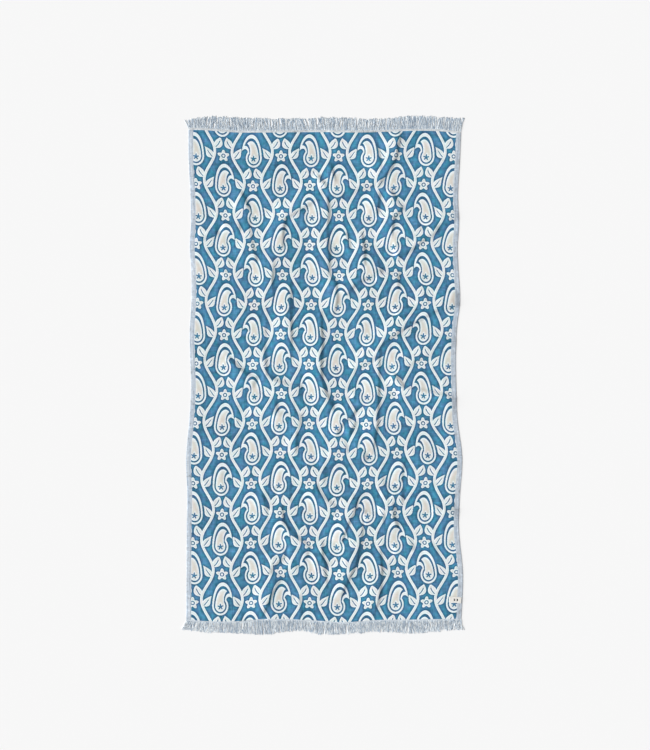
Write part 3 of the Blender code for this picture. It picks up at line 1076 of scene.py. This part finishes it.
blue_face = cloth_material("Woven cotton, blue ground", BLUE, CREAM)
cream_face = cloth_material("Woven cotton, cream ground", CREAM, BLUE)
cloth = finish_piece("towel_cloth", cloth_mesh, [blue_face, cream_face])
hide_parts("cloth")

# %% [markdown]
# ## The fringe
#
# Each fringe is made of loose warp yarns, gathered by handling into loose bunches. The solid
# fringe has one plain lock for each bunch, so the yarns of a bunch start, lean and end where
# its lock does. Four yarns at a time keep together as a strand. The loom has left each strand
# kinked, and each yarn is a thin tube with its own small bend, so that gaps and crossings
# come by themselves.
#
# Thousands of tubes are quick to make if they are all extruded at once, as straight teeth of
# a comb, and only bent into place afterwards.

# %% A comb of straight tubes
def comb_of_tubes(count, rings):
    """Straight square tubes side by side. Each vertex's tube, ring and corner come with it."""
    mesh = bmesh.new()
    bmesh.ops.create_grid(mesh, x_segments=count, y_segments=1, size=0.5)
    bmesh.ops.scale(mesh, vec=(count, 1.0, 1.0), verts=mesh.verts[:])
    bmesh.ops.translate(mesh, vec=(0.5 * count - 0.5, 0.0, 0.0), verts=mesh.verts[:])
    shared = [edge for edge in mesh.edges if len(edge.link_faces) == 2]
    bmesh.ops.split_edges(mesh, edges=shared)
    for face in mesh.faces:
        middle = face.calc_center_median()
        for vertex in face.verts:
            vertex.co.x = 0.5 * (vertex.co.x + middle.x)
    ends = mesh.faces[:]
    for ring in range(1, rings):
        ends = bmesh.ops.extrude_discrete_faces(mesh, faces=ends)["faces"]
        bmesh.ops.translate(mesh, verts=[v for face in ends for v in face.verts], vec=(0, 0, 1))
    open_edges = [edge for edge in mesh.edges if edge.is_boundary]
    bmesh.ops.holes_fill(mesh, edges=open_edges, sides=4)
    bmesh.ops.recalc_face_normals(mesh, faces=mesh.faces[:])
    places = np.array([vertex.co for vertex in mesh.verts])
    tube = np.rint(places[:, 0]).astype(int)
    ring = np.rint(places[:, 2]).astype(int)
    corner = np.sign(np.stack([places[:, 0] - tube, places[:, 1]], axis=1)) * math.sqrt(0.5)
    return mesh, tube, ring, corner


trial = comb_of_tubes(3, 4)[0]
print("Three tubes of four rings have", len(trial.faces), "faces")
trial.free()

# %% Wrap tubes round their paths
def bend_tubes(mesh, tube, ring, corner, path, radius):
    """Move each ring of each tube to its point on the tube's path, square to the path."""
    ahead = np.gradient(path, axis=1)
    ahead /= np.linalg.norm(ahead, axis=2, keepdims=True)
    side = np.stack([-ahead[..., 1], ahead[..., 0], np.zeros(ahead.shape[:2])], axis=2)
    side /= np.linalg.norm(side, axis=2, keepdims=True)
    up = np.cross(ahead, side)
    up *= np.sign(up[..., 2:3])
    thick = np.broadcast_to(radius, path.shape[:2])[tube, ring][:, None]
    off = corner[:, :1] * side[tube, ring] + corner[:, 1:] * up[tube, ring]
    put_vertices(mesh, *(path[tube, ring] + thick * off).T)
    bmesh.ops.recalc_face_normals(mesh, faces=mesh.faces[:])


print("Tubes bend by moving whole rings")

# %% [markdown]
# Each vertex of a tube carries where it sits on its yarn's round, how far along the yarn it
# is, and how pale the yarn is there. The yarn material reads these three.

# %% A piece made of yarns
def mark_yarns(piece, tube, ring, corner, path, tone):
    """Give each vertex its place on its yarn and its tone, and the bake its map."""
    steps = np.linalg.norm(np.diff(path, axis=1), axis=2)
    length = np.concatenate([np.zeros((len(path), 1)), np.cumsum(steps, axis=1)], axis=1)
    spot = np.column_stack([corner, length[tube, ring]]).astype(np.float32)
    spots = piece.data.attributes.new("yarn_spot", "FLOAT_VECTOR", "POINT")
    spots.data.foreach_set("vector", spot.ravel())
    tones = piece.data.attributes.new("yarn_tone", "FLOAT", "POINT")
    tone = np.broadcast_to(tone, path.shape[:2])[tube, ring]
    tones.data.foreach_set("value", tone.astype(np.float32))
    bake = piece.data.uv_layers.new(name="OFBake")
    corners = np.zeros(len(piece.data.loops), dtype=np.int32)
    piece.data.loops.foreach_get("vertex_index", corners)
    u = 0.01 + 0.98 * (tube + 0.5 + 0.4 * corner[:, 0]) / len(path)
    v = 0.02 + 0.96 * ring / path.shape[1]
    flat = np.column_stack([u[corners], v[corners]]).astype(np.float32)
    bake.data.foreach_set("uv", flat.ravel())


def yarn_piece(name, path, radius, tone, material):
    """One piece with a yarn along each path."""
    mesh, tube, ring, corner = comb_of_tubes(*path.shape[:2])
    bend_tubes(mesh, tube, ring, corner, path, radius)
    piece = finish_piece(name, mesh, [material])
    mark_yarns(piece, tube, ring, corner, path, tone)
    return piece


print("A piece of yarns needs their paths, radius and tones")

# %% Where each bunch starts, leans and ends
ROOT_FROM_END = -0.0010
LOCK_COUNT = 108
LENGTH_JITTER = 0.0022
LEAN_JITTER = 0.0007


def bunch_places(stations, end, seed):
    """Each bunch's start, lean and tip, by the same seeded chances as the solid's locks."""
    chance = random.Random(seed)
    shares = (np.arange(LOCK_COUNT) + 0.5) / LOCK_COUNT
    x, cloth_y = cloth_place(shares, float(end))
    lean = smooth_between(stations, "lean", x)
    tip_y = smooth_between(stations, "tip", x)
    for bunch in range(LOCK_COUNT):
        lean[bunch] += chance.uniform(-1, 1) * LEAN_JITTER
        tip_y[bunch] += chance.uniform(-1, 1) * LENGTH_JITTER
    return x, cloth_y, lean, tip_y


print("The top fringe's first bunch:", [float(part[0]) for part in bunch_places(TOP_END, 1, 11)])

# %% Bunches that cross or part
Crossing = namedtuple("Crossing", "at half_width amount ring_share")

TOP_CROSSINGS = table(
    Crossing,
    (-0.388, 0.016, 0.0050, 1.0), (-0.386, 0.009, -0.0040, 0.30),
    (0.416, 0.008, -0.0034, 0.35), (-0.125, 0.012, -0.0020, 0.45),
    (-0.200, 0.011, -0.0026, 0.95), (0.148, 0.012, -0.0022, 0.90),
    (0.330, 0.012, 0.0032, 1.0),
)
BOTTOM_CROSSINGS = table(
    Crossing,
    (-0.255, 0.012, -0.0020, 0.9), (0.020, 0.012, 0.0030, 1.0),
    (0.155, 0.012, -0.0022, 0.8), (0.290, 0.013, -0.0024, 0.9),
)


CROSSING_STEEPNESS = 3.0
CROSSING_SPREAD = 0.35
LEAST_RING_SHARE = 0.2


def crossing_push(crossing, start_x, s):
    """How far yarns are pushed towards one place from both sides, or away if below 0."""
    off = (start_x - crossing.at) / crossing.half_width
    nearness = np.exp(-off * off)
    timing = np.exp(-(((s - crossing.ring_share) / CROSSING_SPREAD) ** 2)) * s
    timing = timing / max(crossing.ring_share, LEAST_RING_SHARE)
    return -np.tanh(off * CROSSING_STEEPNESS) * nearness * timing * crossing.amount


print("Crossings and partings:", len(TOP_CROSSINGS) + len(BOTTOM_CROSSINGS))

# %% [markdown]
# Two yarns are never alike. Chance, with a seed, gives each one its place in the bunch, its
# lean, bend, kink, length and tone. Some of these it shares with its strand or its bunch.

# %% What chance gives each yarn
YARNS_PER_BUNCH = 24
STRAND_YARNS = 4
GROUPS = 22
LAYERS = 3
PLACE_JITTER = 0.04
GATHER = 0.34
GROUP_LEAN = 0.0034
BUNCH_LEAN = 0.0012
BUNCH_TWIST = 1.3
STRAND_STRAY = 0.0040
YARN_STRAY = 0.0008
YARN_WAVE = 0.00035
YARN_SHORTER = 0.035
STRAND_SHORTER = 0.050
BUNCH_SHORTER = 0.030
KINK = 0.0012
USUAL_TONE = 0.52
YARN_TONE = 0.34
STRAND_TONE = 0.42
BUNCH_TONE = 0.05
RING_TONE = 0.46
RING_SHARES = np.array([0.0, 0.10, 0.25, 0.42, 0.60, 0.79, 0.95, 1.0])


def draw_yarns(seed, rough, paler):
    """Each yarn's own numbers, with one row for each yarn."""
    chance = np.random.default_rng(seed)
    count = LOCK_COUNT * YARNS_PER_BUNCH
    each, bunches = (count, 1), (LOCK_COUNT, 1)
    bunch = np.repeat(np.arange(LOCK_COUNT), YARNS_PER_BUNCH)
    strand = np.arange(count) // STRAND_YARNS
    place = np.tile((np.arange(YARNS_PER_BUNCH) + 0.5) / YARNS_PER_BUNCH - 0.5, LOCK_COUNT)
    yarns = SimpleNamespace(bunch=bunch)
    yarns.place = place[:, None] + chance.uniform(-PLACE_JITTER, PLACE_JITTER, each)
    yarns.gather = chance.uniform(0.0, GATHER, bunches)[bunch]
    group_places = np.linspace(0, LOCK_COUNT - 1, GROUPS)
    sway = np.interp(np.arange(LOCK_COUNT), group_places, chance.normal(0.0, GROUP_LEAN, GROUPS))
    yarns.sway = (sway[:, None] + chance.normal(0.0, BUNCH_LEAN, bunches))[bunch]
    yarns.twist = chance.normal(0.0, BUNCH_TWIST, bunches)[bunch]
    stray = chance.normal(0.0, STRAND_STRAY * rough, each)[strand]
    yarns.stray = stray + chance.normal(0.0, YARN_STRAY, each)
    yarns.wave = chance.normal(0.0, YARN_WAVE, each)
    yarns.turn = chance.uniform(0.0, 2 * math.pi, each)
    yarns.layer = chance.permutation(np.arange(count))[:, None] % LAYERS
    shorter = np.abs(chance.normal(0.0, YARN_SHORTER, each))
    shorter = shorter + np.abs(chance.normal(0.0, STRAND_SHORTER * rough, each))[strand]
    yarns.shorter = shorter + np.abs(chance.normal(0.0, BUNCH_SHORTER, bunches))[bunch]
    yarns.kink = chance.normal(0.0, KINK * rough, each)[strand]
    yarns.kink_start = chance.uniform(0.0, 2 * math.pi, (count, 2))[strand]
    # A fringe's own lift in tone is painted light: both fringes are the same yarn.
    tone = USUAL_TONE + paler + chance.normal(0.0, YARN_TONE, each)
    tone = tone + chance.normal(0.0, STRAND_TONE, each)[strand]
    tone = tone + chance.normal(0.0, BUNCH_TONE, bunches)[bunch]
    patchy = chance.normal(0.0, RING_TONE * rough, (count, len(RING_SHARES)))[strand]
    yarns.tone = np.clip(tone + patchy, 0.0, 1.0)
    return yarns


print("Each fringe has", LOCK_COUNT * YARNS_PER_BUNCH, "yarns")

# %% The path of each yarn
YARN_RADIUS = 0.00045
LEAST_HEIGHT = YARN_RADIUS * 1.05
YARN_WIDTHS = np.array([0.85, 1.0, 1.0, 1.0, 1.0, 1.05, 1.10, 0.60])
PITCH = CLOTH_WIDTH / LOCK_COUNT
FLARE = 0.0030
FLARE_WIDTH = 0.040
LAYER_RISE = 0.00034
TWIST_RISE = 0.15
KINK_RISE = 0.0002
ROOT_HEIGHT = 0.0008
TIP_DROP = 0.45
TIP_FROM = 0.6
GATHERED_BY = 0.45
TIP_SPREAD = 0.10
LEAN_POWER = 1.25
KINKED_BY = 0.3
WAVES = 7.0
KINKS = 10.0
RISES = 9.0

Fringe = namedtuple("Fringe", "stations end outward seed crossings longer paler rough")


def yarn_paths(fringe, yarns):
    """Points along every yarn of one fringe, from its root at s = 0 to its tip at s = 1."""
    places = bunch_places(fringe.stations, fringe.end, fringe.seed)
    start_x, cloth_y, lean, tip_y = (part[yarns.bunch][:, None] for part in places)
    s = RING_SHARES[None, :]
    twisted = yarns.twist * soft_step(s)
    deep = yarns.place * np.sin(twisted)
    held = 1.0 - yarns.gather * soft_step(s / GATHERED_BY) + TIP_SPREAD * s * s
    x = start_x + yarns.place * np.cos(twisted) * PITCH * held
    from_corner = np.clip(1.0 - (CLOTH_WIDTH / 2 - np.abs(start_x)) / FLARE_WIDTH, 0.0, 1.0)
    flare = FLARE * np.sign(start_x) * from_corner**2
    x = x + (lean + flare + yarns.sway * (1.0 - from_corner)) * s**LEAN_POWER
    x = x + yarns.stray * s * s
    x = x + yarns.wave * np.sin(WAVES * s + yarns.turn) * s
    kinked = soft_step(s / KINKED_BY)
    x = x + yarns.kink * np.sin(KINKS * s + yarns.kink_start[:, :1]) * kinked
    for crossing in fringe.crossings:
        x = x + crossing_push(crossing, start_x, s)

    root_y = cloth_y + fringe.outward * ROOT_FROM_END
    y = root_y + (tip_y - root_y) * (1.0 - yarns.shorter) * fringe.longer * s

    level = YARN_RADIUS + LAYER_RISE * yarns.layer + TWIST_RISE * np.abs(deep) * PITCH
    level = level + KINK_RISE * fringe.rough * (1.0 + np.sin(RISES * s + yarns.kink_start[:, 1:]))
    z = ROOT_HEIGHT + (level - ROOT_HEIGHT) * kinked
    z = z * (1.0 - TIP_DROP * soft_step((s - TIP_FROM) / (1.0 - TIP_FROM)))
    return np.stack([x, y, np.maximum(z, LEAST_HEIGHT)], axis=2)


print("Bunches are", PITCH, "m apart")

# %% [markdown]
# ## Yarn
#
# A fringe yarn is two thin strands twisted round each other. At this thickness the twist is
# bump, not shape. Each yarn has a tone of its own, from pale blue to cream.

# %% Twisted yarn
TWIST_LENGTH = 0.0030
TWIST_DEPTH = 0.00009
TWIST_TONE = 0.25
FUZZ_TONE = 0.30
FUZZ_ALONG = 900.0

twisted_yarn, (round_x, round_y, along, tone) = start_group(
    "Twisted yarn",
    {"Round X": 0.0, "Round Y": 0.0, "Along": 0.0, "Tone": 0.5},
    {"Share": 0.0, "Height": 0.0, "Shade": 1.0},
)
turn = round_y.math("ARCTAN2", round_x) * 2.0 + along * (2 * math.pi / TWIST_LENGTH)
strand = turn.math("SINE") * 0.5 + 0.5
fuzz = noise_at(along * FUZZ_ALONG, tone * 37.0, round_x, 1.0)
share = limited(tone + (strand - 0.5) * TWIST_TONE + (fuzz - 0.5) * FUZZ_TONE)
end_group(twisted_yarn, share, strand * TWIST_DEPTH, strand * 0.14 + 0.88)


def yarn_material(name, dark, light):
    """Cotton yarn whose tone goes from a darker to a lighter colour."""
    material, tree = new_material(name)
    spot = place_node(tree, "Attribute", attribute_name="yarn_spot")
    own_tone = place_node(tree, "Attribute", attribute_name="yarn_tone")
    wires = [*parts_of(spot.outputs["Vector"]), Wire(own_tone.outputs["Fac"])]
    share, height, shade = use_group(twisted_yarn, *wires)
    colour = shaded(mix_colours(share, dark, light), shade)
    finish_cotton(tree, colour, height, 0.95, sheen=0.15)
    return material


fringe_yarn = yarn_material("Fringe yarn", linear(150, 172, 194), linear(246, 252, 255))
print("Made", fringe_yarn.name)

# %% The two fringes
def build_fringe(name, fringe):
    """One fringe's piece, from its own numbers."""
    yarns = draw_yarns(fringe.seed, fringe.rough, fringe.paler)
    path = yarn_paths(fringe, yarns)
    radius = YARN_RADIUS * YARN_WIDTHS
    return yarn_piece(name, path, radius, yarns.tone, fringe_yarn)


top_shape = Fringe(TOP_END, 1, 1.0, 11, TOP_CROSSINGS, longer=1.0, paler=0.0, rough=1.0)
# The bottom fringe's tones are lifted a little: painted light, as if that end lay in brighter
# light.
bottom_shape = Fringe(
    BOTTOM_END, 0, -1.0, 23, BOTTOM_CROSSINGS, longer=1.06, paler=0.12, rough=1.3
)
top_fringe = build_fringe("top_fringe_yarns", top_shape)
bottom_fringe = build_fringe("bottom_fringe_yarns", bottom_shape)
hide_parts("fringe_top")
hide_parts("fringe_bottom")

# %% [markdown]
# ## Hem stitches
#
# Each long edge is folded over and sewn down near the fold's inner edge. A stitch shows as a
# short thread that comes up out of the cloth and goes down again, so each one is a short
# bent tube with its two ends sunk in the cloth.

# %% Stitch rows
STITCH_PITCH = 0.0046
STITCH_LENGTH = 0.0036
STITCH_RADIUS = 0.00028
STITCH_SINK = 0.00030
STITCH_ARCH = 0.00062
STITCH_FROM_EDGE = 0.0128
STITCH_RINGS = np.linspace(0.0, 1.0, 4)[None, :]
STITCH_TONES = (0.2, 0.8)


def arched(x, y, base, arch):
    """Paths along x and y whose middles rise by an arch above their base."""
    return np.stack([x, y, base + arch * np.sin(math.pi * STITCH_RINGS)], axis=2)


count = int(CLOTH_LENGTH / STITCH_PITCH)
middle = ((np.arange(count) + 0.5) / count)[:, None]
along = middle + (STITCH_RINGS - 0.5) * STITCH_LENGTH / CLOTH_LENGTH
paths = []
for from_edge in (STITCH_FROM_EDGE, CLOTH_WIDTH - STITCH_FROM_EDGE):
    x, y = cloth_place(np.full_like(along, from_edge / CLOTH_WIDTH), along)
    paths.append(arched(x, y, cloth_top(x, y) - STITCH_SINK, STITCH_ARCH))
path = np.concatenate(paths)
tones = np.random.default_rng(3).uniform(*STITCH_TONES, (len(path), 1))
hem_thread = yarn_material("Hem thread", linear(176, 194, 212), linear(222, 228, 232))
stitches = yarn_piece("hem_stitches", path, STITCH_RADIUS, tones, hem_thread)
print("There are", len(path), "hem stitches")

# %% [markdown]
# ## The label
#
# A short piece of off-white tape is folded in two and sewn over the hem at the lower right.
# It is left bare, with two short bars of dark tacking to hold it. The tape is a small grid
# that follows the cloth below it, extruded once, with a soft rounding at its folded end.

# %% The tape
LABEL_LENGTH = 0.043
LABEL_WIDTH = 0.021
LABEL_CENTRE = (0.4535, -0.7825)
LABEL_TURN = math.radians(-4.0)
LABEL_COLUMNS = 44
LABEL_ROWS = 22
LABEL_GAP = 0.0002


def label_place(along, across):
    """Where a point of the label lies, from its distances along and across the tape."""
    x = LABEL_CENTRE[0] + along * math.cos(LABEL_TURN) - across * math.sin(LABEL_TURN)
    y = LABEL_CENTRE[1] + along * math.sin(LABEL_TURN) + across * math.cos(LABEL_TURN)
    return x, y


def label_underside(x, y):
    """Just above the cloth, with the hem's step softened by the tape's own stiffness."""
    around_it = [cloth_top(x + step, y) for step in (-0.002, -0.001, 0.0, 0.001, 0.002)]
    return np.mean(around_it, axis=0) + LABEL_GAP


label_mesh, column, row = grid_sheet(LABEL_COLUMNS, LABEL_ROWS)
along = LABEL_LENGTH * (column / LABEL_COLUMNS - 0.5)
across = LABEL_WIDTH * (row / LABEL_ROWS - 0.5)
put_vertices(label_mesh, *label_place(along, across), np.zeros_like(along))
plan = label_mesh.loops.layers.uv.new("tape_plan")
label_mesh.verts.index_update()
for face in label_mesh.faces:
    for loop in face.loops:
        loop[plan].uv = (along[loop.vert.index], across[loop.vert.index])
tape_top = set(extrude_top(label_mesh))
print("The tape has", len(label_mesh.faces), "faces")

# %% Its thickness and soft edges
LABEL_THICKNESS = 0.0010
FOLD_ROUNDING = 0.0016
SELVEDGE_ROUNDING = 0.0011
TACK_PLACES = (-0.003, 0.007)
TACK_DIP = 0.00025
TACK_WIDTH = 0.0012
FREE_END_LIFT = 0.0006
FREE_END_LENGTH = 0.012

x, y = np.array([vertex.co[:2] for vertex in label_mesh.verts]).T
is_top = np.array([vertex in tape_top for vertex in label_mesh.verts])
along, across = turned_by(x - LABEL_CENTRE[0], y - LABEL_CENTRE[1], LABEL_TURN)
from_fold = along + LABEL_LENGTH / 2
from_selvedge = LABEL_WIDTH / 2 - np.abs(across)
sides_round = 0.45 + 0.55 * soft_step(from_selvedge / SELVEDGE_ROUNDING)
rounding = soft_step(from_fold / FOLD_ROUNDING) * sides_round
dip = sum(TACK_DIP * np.exp(-(((along - tack) / TACK_WIDTH) ** 2)) for tack in TACK_PLACES)
thickness = LABEL_THICKNESS * (0.30 + 0.70 * rounding) - dip
lifted = soft_step(1.0 - from_fold / FREE_END_LENGTH) * (0.6 + across / LABEL_WIDTH)
z = label_underside(x, y) + FREE_END_LIFT * lifted + np.where(is_top, thickness, 0.0)
put_vertices(label_mesh, x, y, z)
bmesh.ops.recalc_face_normals(label_mesh, faces=label_mesh.faces[:])
print("The label reaches a height of", float(z.max()), "m")

# %% Woven tape
RIB_PITCH = 0.0007
RIB_DEPTH = 0.00009
TAPE_WHITE = linear(240, 239, 235)
TAPE_SHADE = linear(214, 210, 202)
TAPE_CLOUD_SCALE = 160.0

tape, tree = new_material("Off-white tape")
along, across = map_wires(tree, "tape_plan")
arch = use_group(weave, along, across, RIB_PITCH)[0]
cloud = noise_at(along, across, 0.3, TAPE_CLOUD_SCALE)
colour = mix_colours(limited(cloud * 0.5 + (1.0 - arch) * 0.35), TAPE_WHITE, TAPE_SHADE)
finish_cotton(tree, colour, arch * RIB_DEPTH, 0.90 - arch * 0.08, sheen=0.10)
label = finish_piece("bare_label", label_mesh, [tape])
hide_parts("label")

# %% Two bars of tacking
TACK_STITCHES = 19
TACK_LENGTH = 0.0064
TACK_REACH = 0.0076
TACK_SLANT = 0.0003
TACK_SINK = 0.00010
TACK_ARCH = 0.00072
TACK_RADIUS = 0.00024
TACK_TONE = 0.4

numbers = np.arange(TACK_STITCHES)[:, None]
across = ((numbers + 0.5) / TACK_STITCHES - 0.5) * TACK_REACH
slant = TACK_SLANT * np.where(numbers % 2, 1.0, -1.0)
off = STITCH_RINGS - 0.5
paths = []
for tack in TACK_PLACES:
    x, y = label_place(tack + off * TACK_LENGTH, across + slant * off)
    base = label_underside(x, y) + LABEL_THICKNESS - TACK_DIP
    paths.append(arched(x, y, base - TACK_SINK, TACK_ARCH))
path = np.concatenate(paths)
tack_thread = yarn_material("Tacking thread", linear(34, 36, 42), linear(66, 68, 76))
tacks = yarn_piece("label_tacking", path, TACK_RADIUS, TACK_TONE, tack_thread)

# %% [markdown]
# ## The cloth's size
#
# This towel is cut 0.940 m wide, measured flat over its hems, and 1.714 m long with its
# headings.

# %% The sheet
print("The cloth is declared as a sheet of", CLOTH_WIDTH, "by", full_length, "m")

# %% [markdown]
# ## Floor, light and camera
#
# The towel lies on a plain pale floor. The light of a bright room comes from everywhere, and
# one large soft window on the left lights the left flank of each crease. It stands low, so that
# even shallow creases show. The camera looks straight down, with a long lens, as in a picture
# for a shop.

# %% The floor
FLOOR_SIZE = 60.0
FLOOR_WHITE = linear(240, 240, 240)

floor_mesh = bmesh.new()
bmesh.ops.create_grid(floor_mesh, x_segments=1, y_segments=1, size=FLOOR_SIZE / 2)
floor_data = bpy.data.meshes.new("floor")
floor_mesh.to_mesh(floor_data)
floor_mesh.free()
floor_paint, tree = new_material("Pale floor")
shader = tree.nodes["Principled BSDF"]
feed_inputs(shader, Base_Color=FLOOR_WHITE, Roughness=0.95, Specular_IOR_Level=0.0)
floor_data.materials.append(floor_paint)
floor = new_object("floor", floor_data)
print("The floor is", FLOOR_SIZE, "m wide")

# %% Light
ROOM_LIGHT = 0.33
SUN_STRENGTH = 4.8
SUN_WIDTH = math.radians(60)
SUN_HEIGHT = math.radians(29)
SUN_FROM = math.radians(184)

world = bpy.data.worlds.new("Bright room")
world.use_nodes = True
background = world.node_tree.nodes["Background"]
feed_inputs(background, Color=linear(255, 255, 255), Strength=ROOM_LIGHT)
bpy.context.scene.world = world

sun_data = bpy.data.lights.new("Soft window light", "SUN")
sun_data.energy = SUN_STRENGTH
sun_data.angle = SUN_WIDTH
sun = new_object("Soft window light", sun_data)
flat = math.cos(SUN_HEIGHT)
away = (-flat * math.cos(SUN_FROM), -flat * math.sin(SUN_FROM), -math.sin(SUN_HEIGHT))
sun.rotation_mode = "QUATERNION"
sun.rotation_quaternion = Vector(away).to_track_quat("-Z", "Y")
bpy.context.scene.view_settings.view_transform = "Standard"
print("The sun stands", math.degrees(SUN_HEIGHT), "degrees high")

# %% Camera
PICTURE_ROWS = 750
FLOOR_PER_ROW = 0.0034816
PICTURE_HEIGHT = PICTURE_ROWS * FLOOR_PER_ROW
LENS = 85.0
SENSOR = 36.0

camera_data = bpy.data.cameras.new("Camera")
camera_data.lens = LENS
camera_data.sensor_width = SENSOR
camera_data.clip_end = 200.0
camera = new_object("Camera", camera_data)
camera.location = (SLIDE_X, SLIDE_Y, PICTURE_HEIGHT * LENS / SENSOR)
bpy.context.scene.camera = camera
print("The camera hangs", camera.location.z, "m above the floor")
